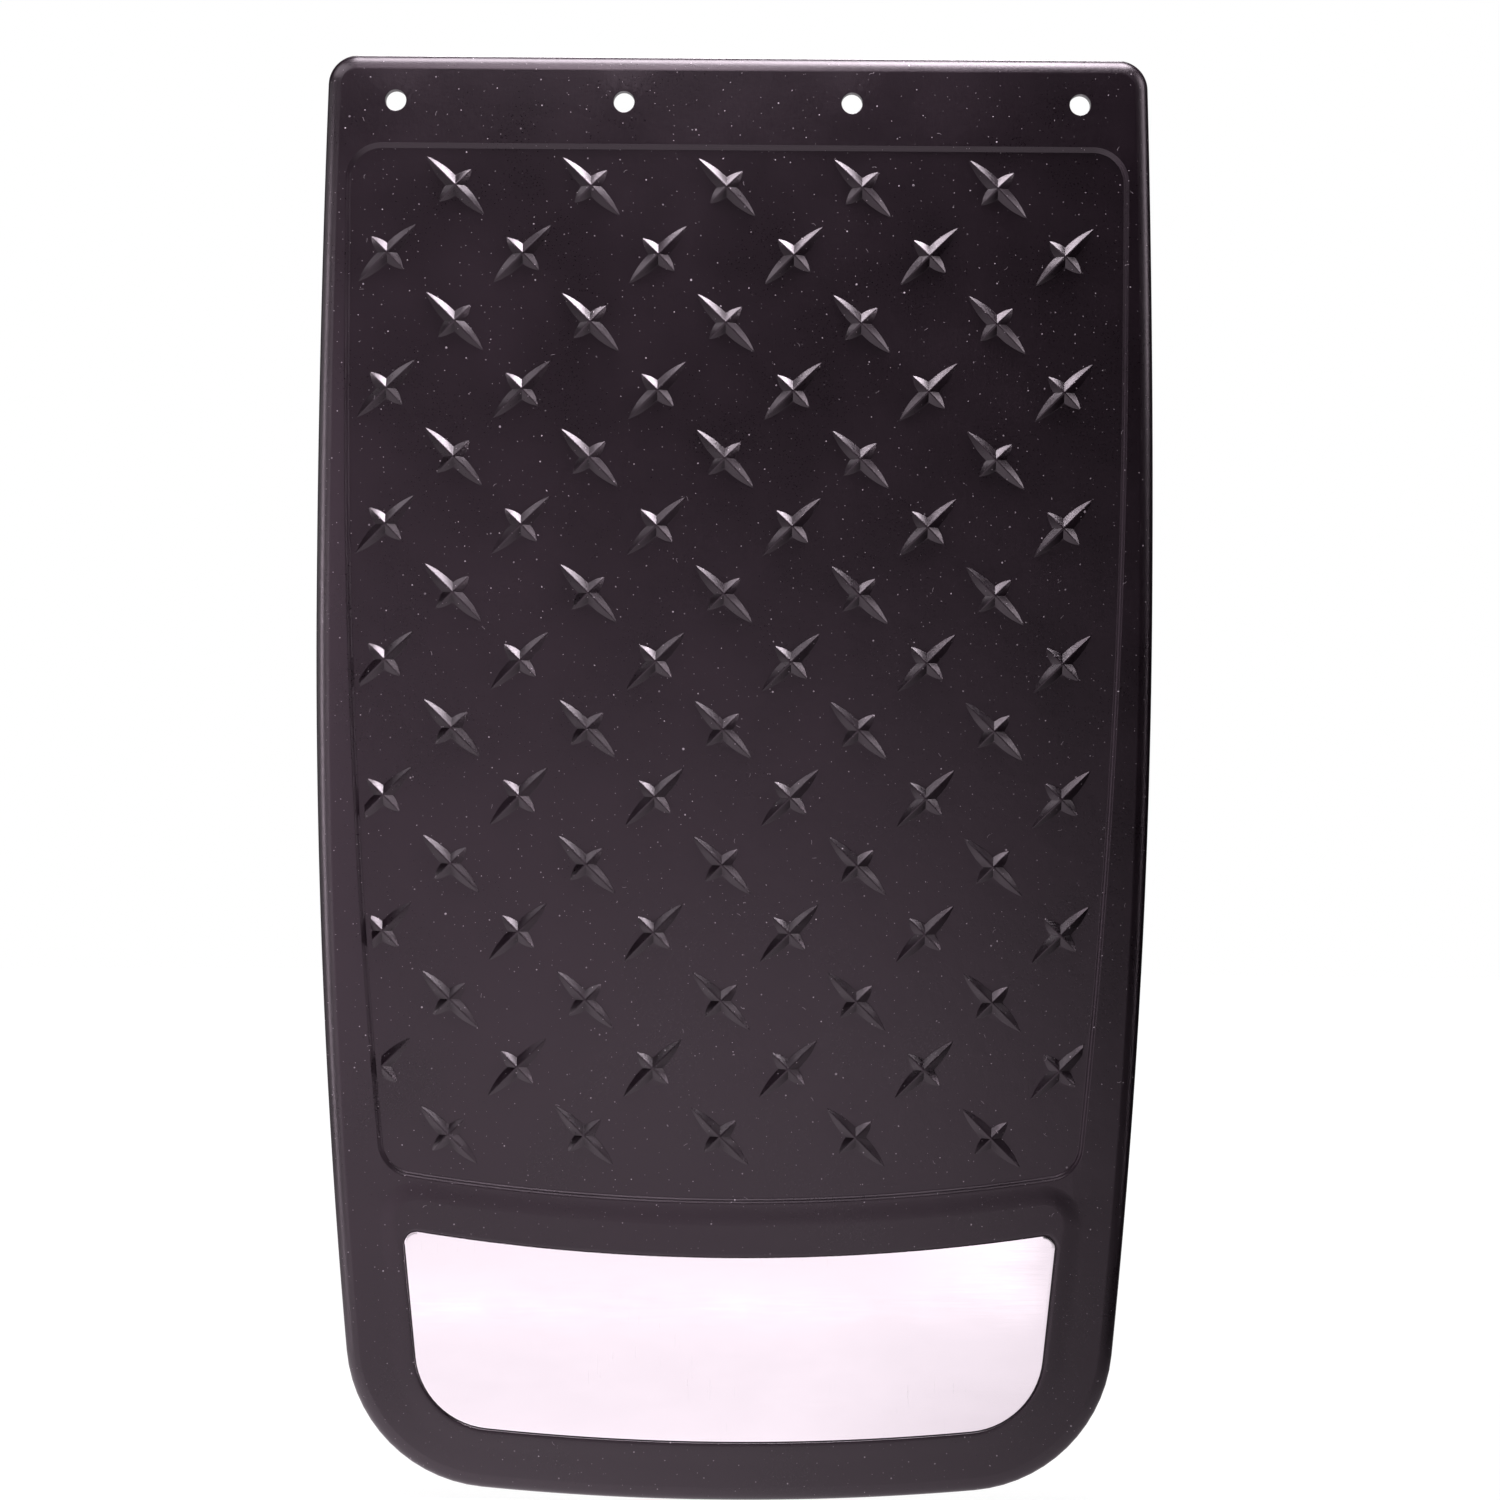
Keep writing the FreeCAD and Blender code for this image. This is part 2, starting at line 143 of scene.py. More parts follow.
class StarSizes(bpy.types.PropertyGroup):
    """Sizes of the four-armed stars and of the grid that they stand on."""

    pitch: Length("Pitch", "Distance between stars in a row", 0.0453)
    shift: Length("Shift", "How far the grid lies to the side of the flap's middle", -0.0036)
    first_height: Length("First height", "Height of the lowest row", 0.1219)
    long_arm: Length("Long arm", "Middle to tip of a long arm", 0.0139)
    short_arm: Length("Short arm", "Middle to tip of a short arm", 0.0078)
    notch: Length("Notch", "Middle to the notch between two arms", 0.0034)
    long_bulge: Length("Long arm bulge", "How far a long arm's edges bow out", 0.0007)
    short_bulge: Length("Short arm bulge", "How far a short arm's edges bow out", 0.00045)
    rise: Length("Rise", "Height of a star's middle above the field", 0.0023)
    clip_margin: Length(
        "Clip margin", "Distance from the field's wall at which stars are cut off", 0.0035)


class PlateSizes(bpy.types.PropertyGroup):
    """Sizes of the trim plate and of the raised surround that it lies in."""

    top_height: Length("Top height", "Height of the top edge in its middle", 0.0814)
    low_height: Length("Bottom height", "Height of the bottom edge in its middle", 0.02)
    top_radius: Length("Top radius", "Radius of the hollow top edge", 0.683)
    bottom_radius: Length("Bottom radius", "Radius of the bottom edge", 0.827)
    side_height: Length("Side height", "Height at which the half width is measured", 0.06)
    side_half_width: Length("Half width", "Middle to side at that height", 0.106)
    side_slope: FloatProperty(
        name="Side slope", description="How far each side leans out for its height", default=0.1025)
    top_corner_radius: Length("Top corner radius", "Radius of the two top corners", 0.0038)
    bottom_corner_radius: Length("Bottom corner radius", "Radius of the two bottom corners", 0.0265)
    edge_radius: Length("Edge radius", "Rounding of the plate's front edge", 0.00015)
    clearance: Length("Clearance", "Gap between the plate and its pocket", 0.0004)
    lip_run: Length("Lip run", "Width of the rounded lip round the pocket", 0.0012)
    lip_depth: Length("Lip depth", "Depth of the rounded lip round the pocket", 0.00045)
    surround_margin: Length(
        "Surround margin", "Width of the raised surround beside the plate", 0.0055)
    surround_rise: Length("Surround rise", "Height of the surround above the border", 0.0005)
    surround_run: Length("Surround slope", "Width of the surround's slope", 0.0037)
    surround_gutter: Length("Surround gutter", "Gap between the field and the surround", 0.004)
    surround_corner_radius: Length(
        "Surround corner radius", "Radius of the surround's top corners", 0.01)


class FixingSizes(bpy.types.PropertyGroup):
    """Sizes of the studs, washers and lock nuts behind the plate."""

    thread_pitch: Length("Thread pitch", "Rise of the stud's thread in one turn", 0.0007)
    thread_depth: Length("Thread depth", "Depth of the stud's thread", 0.0004)
    stud_radius: Length("Stud radius", "Outer radius of the stud's thread", 0.002)
    foot_thickness: Length("Foot thickness", "Thickness of the stud's welded foot", 0.0008)
    stud_hole_radius: Length("Stud hole radius", "Radius of the holes that the studs pass", 0.00305)
    seat_radius: Length("Seat radius", "Radius of the seats that the washers lie in", 0.0064)
    washer_bore_radius: Length("Washer bore radius", "Radius of the hole in a washer", 0.00215)
    washer_edge: Length("Washer edge", "Rounding of a washer's edges", 0.00015)
    nut_across_flats: Length("Nut across flats", "Width of the nut between two flats", 0.007)
    nut_hex_height: Length("Nut hexagon height", "Height of the nut's hexagon", 0.0032)
    nut_collar_radius: Length(
        "Nut collar radius", "Radius of the round collar behind the hexagon", 0.003)
    nut_bore_radius: Length("Nut bore radius", "Radius of the nut's bore", 0.00203)


class Finishes(bpy.types.PropertyGroup):
    """Colours of the rubber, metals and plastic."""

    rubber: Colour("Rubber", "Colour of the moulded rubber", (0.0065, 0.0032, 0.0056))
    dust: Colour("Dust", "Colour of the dust specks on the rubber", (0.42, 0.37, 0.41))
    plate: Colour("Plate", "Colour of the polished plate", (0.95, 0.90, 0.94))
    stud: Colour("Studs", "Colour of the studs", (0.56, 0.55, 0.54))
    washer: Colour("Washers", "Colour of the plated washers", (0.62, 0.63, 0.64))
    nut: Colour("Nuts", "Colour of the plated nuts", (0.52, 0.53, 0.55))
    ring: Colour("Locking rings", "Colour of the nylon locking rings", (0.72, 0.71, 0.66))
    floor: Colour("Floor", "Colour of the studio floor", (0.82, 0.82, 0.82))


class Studio(bpy.types.PropertyGroup):
    """Camera and light of the studio."""

    lens: FloatProperty(
        name="Lens", description="Focal length of the camera", default=120.0, unit="CAMERA")
    view_width: Length("View width", "Width that the camera takes in at the flap's front", 0.5004)
    view_x: Length("View middle X", "X of the view's middle", 0.00555)
    view_z: Length("View middle Z", "Z of the view's middle", -0.21623)
    roll: FloatProperty(
        name="Roll", description="How far the camera is rolled",
        default=math.radians(0.41), unit="ROTATION")
    sky: FloatProperty(
        name="Sky strength", description="Strength of the studio's even light", default=0.05)
    card: FloatProperty(
        name="Card strength", description="Brightness of the glows that gloss mirrors", default=1.0)


class MudFlapSettings(bpy.types.PropertyGroup):
    """All the sizes and colours of the mud flap."""

    flap: PointerProperty(type=FlapSizes)
    field: PointerProperty(type=FieldSizes)
    stars: PointerProperty(type=StarSizes)
    plate: PointerProperty(type=PlateSizes)
    fixings: PointerProperty(type=FixingSizes)
    finishes: PointerProperty(type=Finishes)
    studio: PointerProperty(type=Studio)


# ---- plane curves, each with an inside: spots are (x, z) pairs

SPACING, TURN = 0.006, math.radians(6)      # the most between two spots of an outline
SOLVER_STEPS = 30                           # steps in which a corner's centre is found


def level(height):
    """Z of a height measured up from the flap's lowest point."""
    return height - HOLE_HEIGHT


def straight(x, z, inward_x, inward_z):
    """A straight boundary through a spot, with the direction that leads inside."""
    size = math.hypot(inward_x, inward_z)
    return {"spot": (x, z), "inward": (inward_x / size, inward_z / size)}


def arc(x, z, radius, hollow=False):
    """A round boundary about a centre; a hollow one has the inside outside the circle."""
    return {"spot": (x, z), "radius": radius, "turn": -1.0 if hollow else 1.0}


def depth(curve, spot):
    """How far inside a boundary a spot lies, and the direction that leads further in."""
    across = (spot[0] - curve["spot"][0], spot[1] - curve["spot"][1])
    if "inward" in curve:
        inward = curve["inward"]
        return across[0] * inward[0] + across[1] * inward[1], inward
    far = math.hypot(*across)
    turn = curve["turn"]
    return turn * (curve["radius"] - far), (-turn * across[0] / far, -turn * across[1] / far)


def step_in(curve, spot, wanted):
    """The spot moved along the boundary's normal until it lies the wanted depth inside."""
    found, inward = depth(curve, spot)
    return (spot[0] + inward[0] * (wanted - found), spot[1] + inward[1] * (wanted - found))


def corner_centre(first, second, radius, guess):
    """Centre of the circle inside both boundaries that touches each of them."""
    spot = guess
    for _ in range(SOLVER_STEPS):
        found_a, in_a = depth(first, spot)
        found_b, in_b = depth(second, spot)
        cross = in_a[0] * in_b[1] - in_a[1] * in_b[0]
        miss_a = radius - found_a
        miss_b = radius - found_b
        move_x = (miss_a * in_b[1] - miss_b * in_a[1]) / cross
        move_z = (miss_b * in_a[0] - miss_a * in_b[0]) / cross
        spot = (spot[0] + move_x, spot[1] + move_z)
    return spot


def right_half(sides, inset):
    """Edges of a symmetrical outline down its right-hand side, each (start, end, centre).

    sides alternates boundaries and joins. A join is (radius, guess) for a rounded corner,
    or (None, spot) where two boundaries run into each other smoothly at a spot.
    """
    curves = sides[0::2]
    edges = []
    first_end = None
    start = None
    for number, (radius, spot) in enumerate(sides[1::2]):
        here = curves[number]
        after = curves[number + 1]
        centre = spot if radius is None else corner_centre(here, after, radius, spot)
        leave = step_in(here, centre, inset)
        arrive = leave if radius is None else step_in(after, centre, inset)
        if number == 0:
            first_end = leave
        else:
            edges.append((start, leave, middle_of(here)))
        if radius is not None:
            edges.append((leave, arrive, centre))
        start = arrive
    return first_end, edges, start


def middle_of(curve):
    """Centre of a round boundary, or None for a straight one."""
    return curve["spot"] if "radius" in curve else None


def mirrored(spot):
    """The same spot on the other side of the flap's middle."""
    return None if spot is None else (-spot[0], spot[1])


def outline_edges(sides, inset):
    """All edges of a symmetrical outline, in order and clockwise from the front."""
    first_end, right, last_start = right_half(sides, inset)
    top = (mirrored(first_end), first_end, middle_of(sides[0]))
    bottom = (last_start, mirrored(last_start), middle_of(sides[-1]))
    left = [tuple(map(mirrored, (end, start, centre))) for start, end, centre in reversed(right)]
    return [top] + right + [bottom] + left


def sweep_of(start, end, centre):
    """Angle from start to end about a centre, the short way round."""
    from_start = math.atan2(start[1] - centre[1], start[0] - centre[0])
    turned = math.atan2(end[1] - centre[1], end[0] - centre[0]) - from_start
    return (turned + math.pi) % (2 * math.pi) - math.pi


def outline(sides, inset):
    """Spots round an outline. Their number is the same for every inset."""
    spots = []
    for plain, moved in zip(outline_edges(sides, 0), outline_edges(sides, inset)):
        start, end, centre = plain
        count = math.ceil(math.dist(start, end) / SPACING)
        if centre is not None:
            count = max(count, math.ceil(abs(sweep_of(start, end, centre)) / TURN))
        count += count % 2
        start, end, centre = moved
        for number in range(count):
            part = number / count
            if centre is None:
                x, z = (start[axis] + (end[axis] - start[axis]) * part for axis in (0, 1))
            else:
                angle = math.atan2(start[1] - centre[1], start[0] - centre[0])
                angle += sweep_of(start, end, centre) * part
                reach = math.dist(start, centre)
                x, z = centre[0] + reach * math.cos(angle), centre[1] + reach * math.sin(angle)
            spots.append((x, z))
    return spots


def circle(middle, radius, count=48):
    """Spots round a circle."""
    angles = [2 * math.pi * number / count for number in range(count)]
    return [(middle[0] + radius * math.cos(a), middle[1] + radius * math.sin(a)) for a in angles]


# ---- the object's own outlines

def flap_sides(flap):
    """Boundary of the whole flap."""
    widest = level(flap.widest_height)
    top, bottom = FLAP_HIGH.z, FLAP_LOW.z
    corner, low_corner = flap.top_corner_radius, flap.bottom_corner_radius
    half = flap.half_width
    return [
        straight(0, top, 0, -1),
        (corner, (half - corner, top - corner)),
        arc(half - flap.upper_side_radius, widest, flap.upper_side_radius),
        (None, (half, widest)),
        arc(half - flap.lower_side_radius, widest, flap.lower_side_radius),
        (low_corner, (half - low_corner, bottom + low_corner)),
        arc(0, bottom + flap.bottom_radius, flap.bottom_radius),
    ]


def field_sides(field):
    """Boundary of the recessed field at the front face."""
    turn = level(field.turn_height)
    top, low = level(field.top_height), level(field.low_height)
    corner, half = field.corner_radius, field.half_width
    return [
        straight(0, top, 0, -1),
        (corner, (half - corner, top - corner)),
        straight(half, turn, -1, 0),
        (None, (half, turn)),
        arc(half - field.side_radius, turn, field.side_radius),
        (corner, (half - 2 * corner, low + 2 * corner)),
        arc(0, low + field.bottom_radius, field.bottom_radius),
    ]


def plate_side(plate):
    """The plate's straight right-hand side, which leans out towards its top."""
    return straight(plate.side_half_width, level(plate.side_height), -1, plate.side_slope)


def plate_sides(plate):
    """Boundary of the trim plate."""
    top, low = level(plate.top_height), level(plate.low_height)
    corner, low_corner = plate.top_corner_radius, plate.bottom_corner_radius
    half = plate.side_half_width
    return [
        arc(0, top + plate.top_radius, plate.top_radius, hollow=True),
        (corner, (half - corner, top)),
        plate_side(plate),
        (low_corner, (half - low_corner, low + low_corner)),
        arc(0, low + plate.bottom_radius, plate.bottom_radius),
    ]


def surround_sides(plate, field):
    """Boundary of the raised surround: the plate's, moved out, under a gutter below the field."""
    low = level(plate.low_height)
    corner, low_corner = plate.surround_corner_radius, plate.bottom_corner_radius
    margin, gutter, half = plate.surround_margin, plate.surround_gutter, plate.side_half_width
    side = plate_side(plate)
    side["spot"] = step_in(side, side["spot"], -margin)
    top = level(field.low_height) - gutter
    radius = field.bottom_radius + gutter
    return [
        arc(0, top + radius, radius, hollow=True),
        (corner, (half - corner, top - corner)),
        side,
        (low_corner + margin, (half - low_corner, low + low_corner)),
        arc(0, low + plate.bottom_radius, plate.bottom_radius + margin),
    ]


def pad_sides(flap):
    """Boundary of the raised pad behind the mounting holes."""
    corner, long, wide = flap.pad_corner_radius, flap.pad_half_length, flap.pad_half_width
    return [
        straight(0, wide, 0, -1),
        (corner, (long - corner, wide - corner)),
        straight(long, 0, -1, 0),
        (corner, (long - corner, corner - wide)),
        straight(0, -wide, 0, 1),
    ]


def mounting_holes():
    """Middle and radius of each mounting hole, from the record's bolt patterns."""
    holes = []
    for mount in frame["record"]["mounts"]:
        if mount["kind"] != "bolt_pattern":
            continue
        x, _, z = mount["pos_m"]
        half = mount["dims"]["spacing_x_mm"] / 2000
        radius = mount["dims"]["hole_r_mm"] / 1000
        holes += [((x - half, z), radius), ((x + half, z), radius)]
    return holes


def fixing_middles():
    """Middle of each stud, as (x, z)."""
    middles = []
    for number in range(FIXING_COUNT):
        low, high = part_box("plate_stud_%d" % (number + 1))
        middles.append(((low.x + high.x) / 2, (low.z + high.z) / 2))
    return middles


# ---- a mesh gathered ring by ring

class Skin:
    """Points and faces of one piece, gathered before they become a mesh."""

    def __init__(self):
        self.points = []
        self.faces = []
        self.finishes = []
        self.wear = {}

    def point(self, x, y, z):
        self.points.append((x, y, z))
        return len(self.points) - 1

    def around(self, middle, reach, angle, y):
        """A point at a distance and an angle from a middle."""
        x, z = middle[0] + reach * math.cos(angle), middle[1] + reach * math.sin(angle)
        return self.point(x, y, z)

    def ring(self, spots, y):
        """One closed row of points at one Y."""
        return [self.point(x, y, z) for x, z in spots]

    def face(self, corners, finish=0):
        self.faces.append(tuple(corners))
        self.finishes.append(finish)

    def band(self, first, second, finish=0):
        """Faces between two rings of the same number of points."""
        for number in range(len(first)):
            after = (number + 1) % len(first)
            self.face((first[number], first[after], second[after], second[number]), finish)

    def bands(self, rings, finish=0):
        for first, second in zip(rings, rings[1:]):
            self.band(first, second, finish)

    def patch(self, outer, holes=()):
        """The area inside an outer ring and outside each hole: flat where they share one Y."""
        loops = [outer] + list(holes)
        used = [index for loop in loops for index in loop]
        flat = [Vector((self.points[index][0], self.points[index][2])) for index in used]
        outlines = []
        start = 0
        for loop in loops:
            outlines.append(list(range(start, start + len(loop))))
            start += len(loop)
        _, _, corners, sources, _, _ = delaunay_2d_cdt(flat, [], outlines, 2, 1e-8)
        if any(not source for source in sources):
            raise RuntimeError("two outlines cross each other")
        for triangle in corners:
            self.face([used[sources[index][0]] for index in triangle])

    def mesh(self, name):
        """The gathered mesh, closed and with its faces turned outwards."""
        mesh = bpy.data.meshes.new(name)
        mesh.from_pydata(self.points, [], self.faces)
        mesh.polygons.foreach_set("material_index", self.finishes)
        worn = mesh.attributes.new("wear", "FLOAT", "POINT")
        for index, wear in self.wear.items():
            worn.data[index].value = wear
        work = bmesh.new()
        work.from_mesh(mesh)
        bmesh.ops.remove_doubles(work, verts=work.verts, dist=JOINED)
        bmesh.ops.recalc_face_normals(work, faces=work.faces)
        open_edges = [edge for edge in work.edges if len(edge.link_faces) != 2]
        if open_edges:
            raise RuntimeError("%s has %d open edges" % (name, len(open_edges)))
        if work.calc_volume(signed=True) < 0:
            bmesh.ops.reverse_faces(work, faces=work.faces)
        work.to_mesh(mesh)
        work.free()
        return mesh


def show(mesh, materials):
    """A piece with smooth faces, crisp edges where it turns sharply and even shading on flats."""
    piece = bpy.data.objects.new(mesh.name, mesh)
    bpy.context.scene.collection.objects.link(piece)
    for material in materials:
        mesh.materials.append(material)
    mesh.polygons.foreach_set("use_smooth", [True] * len(mesh.polygons))
    mesh.set_sharp_from_angle(angle=SHARP_ANGLE)
    even = piece.modifiers.new("Even shading", "WEIGHTED_NORMAL")
    even.keep_sharp = True
    return piece


def seat_in_frame(piece, slot, *nodes):
    """The piece rides on the part's one body and stands for the named nodes."""
    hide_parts(*nodes)
    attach(piece, "root")


# ---- the stars

ARM_ROWS = 9
ARM_CROWDING = 1.15             # above 1, an arm's rows stand closer towards its tip
# columns of a flank, as shares of the way from its foot to its ridge
FLANK_COLUMNS = (0, 0.035, 0.08, 0.45, 0.84, 0.90, 0.95, 1)
FLANK_FOOT, FLANK_RIDGE = 0.08, 0.16    # shares of a flank that its rounded ends take up
RIDGE_EVEN = 0.6                # share of a ridge's height that falls evenly, not with its width
CUT_LEAN = 1.5e-4               # how far the wall of a cut star leans out at its foot
LEFT_OUT = 0.001                # a star whose middle lies this far over the line is left out


def star_places(stars, field):
    """Middles of the stars and the way their long arms lean: 1 up to the right, -1 up to the left.

    Two square grids share one pitch; the second is set half a pitch across and up.
    """
    places = []
    half = stars.pitch / 2
    columns = int(field.half_width / half) + 1
    rows = int((field.top_height - stars.first_height) / half) + 1
    for row in range(rows):
        z = level(stars.first_height) + row * half
        lean = -1 if row % 2 == 0 else 1
        for column in range(-columns, columns + 1):
            if (row + column) % 2 == 0:
                places.append((stars.shift + column * half, z, lean))
    return places


def softened(part, foot, ridge):
    """Height of a flank from its foot, 0, to its ridge, 1, rounded over a share at each end."""
    risen = part * part / (2 * foot) if part < foot else part - foot / 2
    if part > 1 - ridge:
        risen -= (part - 1 + ridge) ** 2 / (2 * ridge)
    return risen / (1 - foot / 2 - ridge / 2)


def add_flank(shell, stars, place, floor, quarter, side):
    """One flank of one arm, from the field up to the arm's ridge."""
    x, z, lean = place
    is_long = (quarter % 2 == 0) == (lean == 1)
    reach = stars.long_arm if is_long else stars.short_arm
    bulge = stars.long_bulge if is_long else stars.short_bulge
    waist = stars.notch * math.sqrt(0.5)
    angle = math.radians(45 + 90 * quarter)
    grid = []
    for step in range(ARM_ROWS + 1):
        along = 1 - (1 - step / ARM_ROWS) ** ARM_CROWDING
        edge_far = waist + (reach - waist) * along
        half_wide = waist * (1 - along) + bulge * 4 * along * (1 - along)
        ridge_far = reach * along
        high = stars.rise * (RIDGE_EVEN * (1 - along) + (1 - RIDGE_EVEN) * half_wide / waist)
        row = []
        for across in FLANK_COLUMNS:
            far = edge_far + (ridge_far - edge_far) * across
            wide = side * half_wide * (1 - across)
            row.append(shell.verts.new((
                x + far * math.cos(angle) - wide * math.sin(angle),
                floor - high * softened(across, FLANK_FOOT, FLANK_RIDGE),
                z + far * math.sin(angle) + wide * math.cos(angle),
            )))
        grid.append(row)
    for near, after in zip(grid, grid[1:]):
        for corners in zip(near, near[1:], after[1:], after):
            shell.faces.new(corners)


def star_shell(stars, place, floor):
    """A star's surface as a mesh in the making: four leaf-shaped arms, each with a ridge."""
    shell = bmesh.new()
    for quarter in range(4):
        for side in (1, -1):
            add_flank(shell, stars, place, floor, quarter, side)
    bmesh.ops.remove_doubles(shell, verts=shell.verts, dist=2 * JOINED)
    return shell


def cut_star(shell, spot, inward, floor):
    """Cut the star off along a straight line, with a wall down to the field."""
    away = Vector((-inward[0], 0, -inward[1]))
    cut = bmesh.ops.bisect_plane(
        shell, geom=[*shell.verts, *shell.edges, *shell.faces], dist=JOINED,
        plane_co=(spot[0], 0, spot[1]), plane_no=away, clear_outer=True,
    )
    edges = [
        item for item in cut["geom_cut"]
        if isinstance(item, bmesh.types.BMEdge) and len(item.link_faces) == 1
    ]
    feet = {}
    for edge in edges:
        for vert in edge.verts:
            if vert not in feet:
                raised = floor - vert.co.y > 2 * JOINED
                foot = (vert.co.x + away.x * CUT_LEAN, floor, vert.co.z + away.z * CUT_LEAN)
                feet[vert] = shell.verts.new(foot) if raised else vert
    for edge in edges:
        a, b = edge.verts
        corners = [a, b] + [foot for foot in (feet[b], feet[a]) if foot not in (a, b)]
        if len(corners) > 2:
            shell.faces.new(corners)


def open_loops(shell):
    """The shell's open edges as closed loops of vertices."""
    after = {}
    for edge in shell.edges:
        if len(edge.link_faces) == 1:
            for a, b in (edge.verts, reversed(edge.verts)):
                after.setdefault(a, []).append(b)
    loops = []
    while after:
        start = next(iter(after))
        loop = [start]
        last, here = None, start
        while True:
            onward = [vert for vert in after.pop(here) if vert is not last]
            last, here = here, onward[0]
            if here is start:
                break
            loop.append(here)
        loops.append(loop)
    return loops


def add_stars(skin, stars, field, floor):
    """Add the stars to the skin and return the rings in which they stand on the field."""
    top, upright, curved, bottom = field_sides(field)[0::2]
    turn = level(field.turn_height)
    rings = []
    for place in star_places(stars, field):
        mirror = -1 if place[0] < 0 else 1
        spot = (abs(place[0]), place[1])
        near = [top, upright if spot[1] > turn else curved, bottom]
        room = [depth(curve, spot)[0] - stars.clip_margin for curve in near]
        if min(room) < -LEFT_OUT:
            continue
        shell = star_shell(stars, place, floor)
        for curve, left in zip(near, room):
            if left < stars.long_arm:
                _, inward = depth(curve, spot)
                edge = step_in(curve, spot, stars.clip_margin)
                cut_star(shell, (edge[0] * mirror, edge[1]), (inward[0] * mirror, inward[1]), floor)
        index_of = {}
        for vert in shell.verts:
            index_of[vert] = skin.point(*vert.co)
            skin.wear[index_of[vert]] = max(0.0, (floor - vert.co.y) / stars.rise)
        for face in shell.faces:
            skin.face([index_of[vert] for vert in face.verts])
        rings += [[index_of[vert] for vert in loop] for loop in open_loops(shell)]
        shell.free()
    return rings


# ---- the flap

RIM_TURN = math.radians(62)     # how far the rolled rim turns before it meets the crease
RIM_STEPS = 10
RIM_WEAR = 0.05                 # wear of the rim, except where it meets its crease, where it is 1
# the crease inside the rim, as (distance from the rim, share of the crease's depth)
CREASE = ((0.0001, 1), (0.0003, 0.4), (0.0005, 0))
# the field's wall, as (inset, share of the field's depth): two steps with a narrow shelf between
WALL = (
    (-0.00025, 0), (-0.00008, 0.03), (0.00010, 0.12), (0.00052, 0.40), (0.00068, 0.48),
    (0.00088, 0.54), (0.00104, 0.62), (0.00142, 0.88), (0.00156, 0.96), (0.00170, 1),
)
SURROUND_FOOT = 0.0031          # how far outside its outline the surround's slope starts
SURROUND_STEPS, SURROUND_ROUNDNESS = 14, 0.5
SEAT_CORNER = 0.0001            # softening at the bottom of a washer's seat
SEAT_EDGE = 0.0002              # and at its mouth
PAD_EDGE = 0.0005               # width of the pad's softened edge
PAD_ROWS = ((0.00018, 0.45), (0.00032, 0.12))   # rows in it, as (inset, share of the step left)


def rounding(inset_from, y_from, inset_to, y_to, steps, start_upright=True):
    """Rows of a quarter-round section between two (inset, y) ends, without the first end."""
    rows = []
    for step in range(1, steps + 1):
        angle = math.pi / 2 * step / steps
        run, rise = 1 - math.cos(angle), math.sin(angle)
        if not start_upright:
            run, rise = rise, run
        rows.append((inset_from + (inset_to - inset_from) * run, y_from + (y_to - y_from) * rise))
    return rows


def easing(inset_from, y_from, inset_to, y_to, steps, roundness):
    """Rows of a slope between two (inset, y) ends: straight at roundness 0, S-shaped at 1."""
    rows = []
    for step in range(steps + 1):
        part = step / steps
        eased = part + roundness * (part * part * (3 - 2 * part) - part)
        rows.append((inset_from + (inset_to - inset_from) * part, y_from + (y_to - y_from) * eased))
    return rows


def rim_section(flap, back, front):
    """Rows of the rim, from the back face round to the border, with the crease's at the end."""
    edge, crease = flap.back_edge_radius, flap.rim_crease
    rim_foot = front + flap.rim_height
    border_foot = front + flap.border_fall
    rows = [(edge, back)] + rounding(edge, back, 0, back - edge, 3, start_upright=False)
    rows.append((0, rim_foot))
    across = flap.rim_width / (1 - math.cos(RIM_TURN))
    along = (rim_foot - border_foot - crease) / math.sin(RIM_TURN)
    for step in range(1, RIM_STEPS + 1):
        angle = RIM_TURN * step / RIM_STEPS
        rows.append((across * (1 - math.cos(angle)), rim_foot - along * math.sin(angle)))
    return rows + [
        (flap.rim_width + inset, border_foot + crease * share) for inset, share in CREASE
    ]


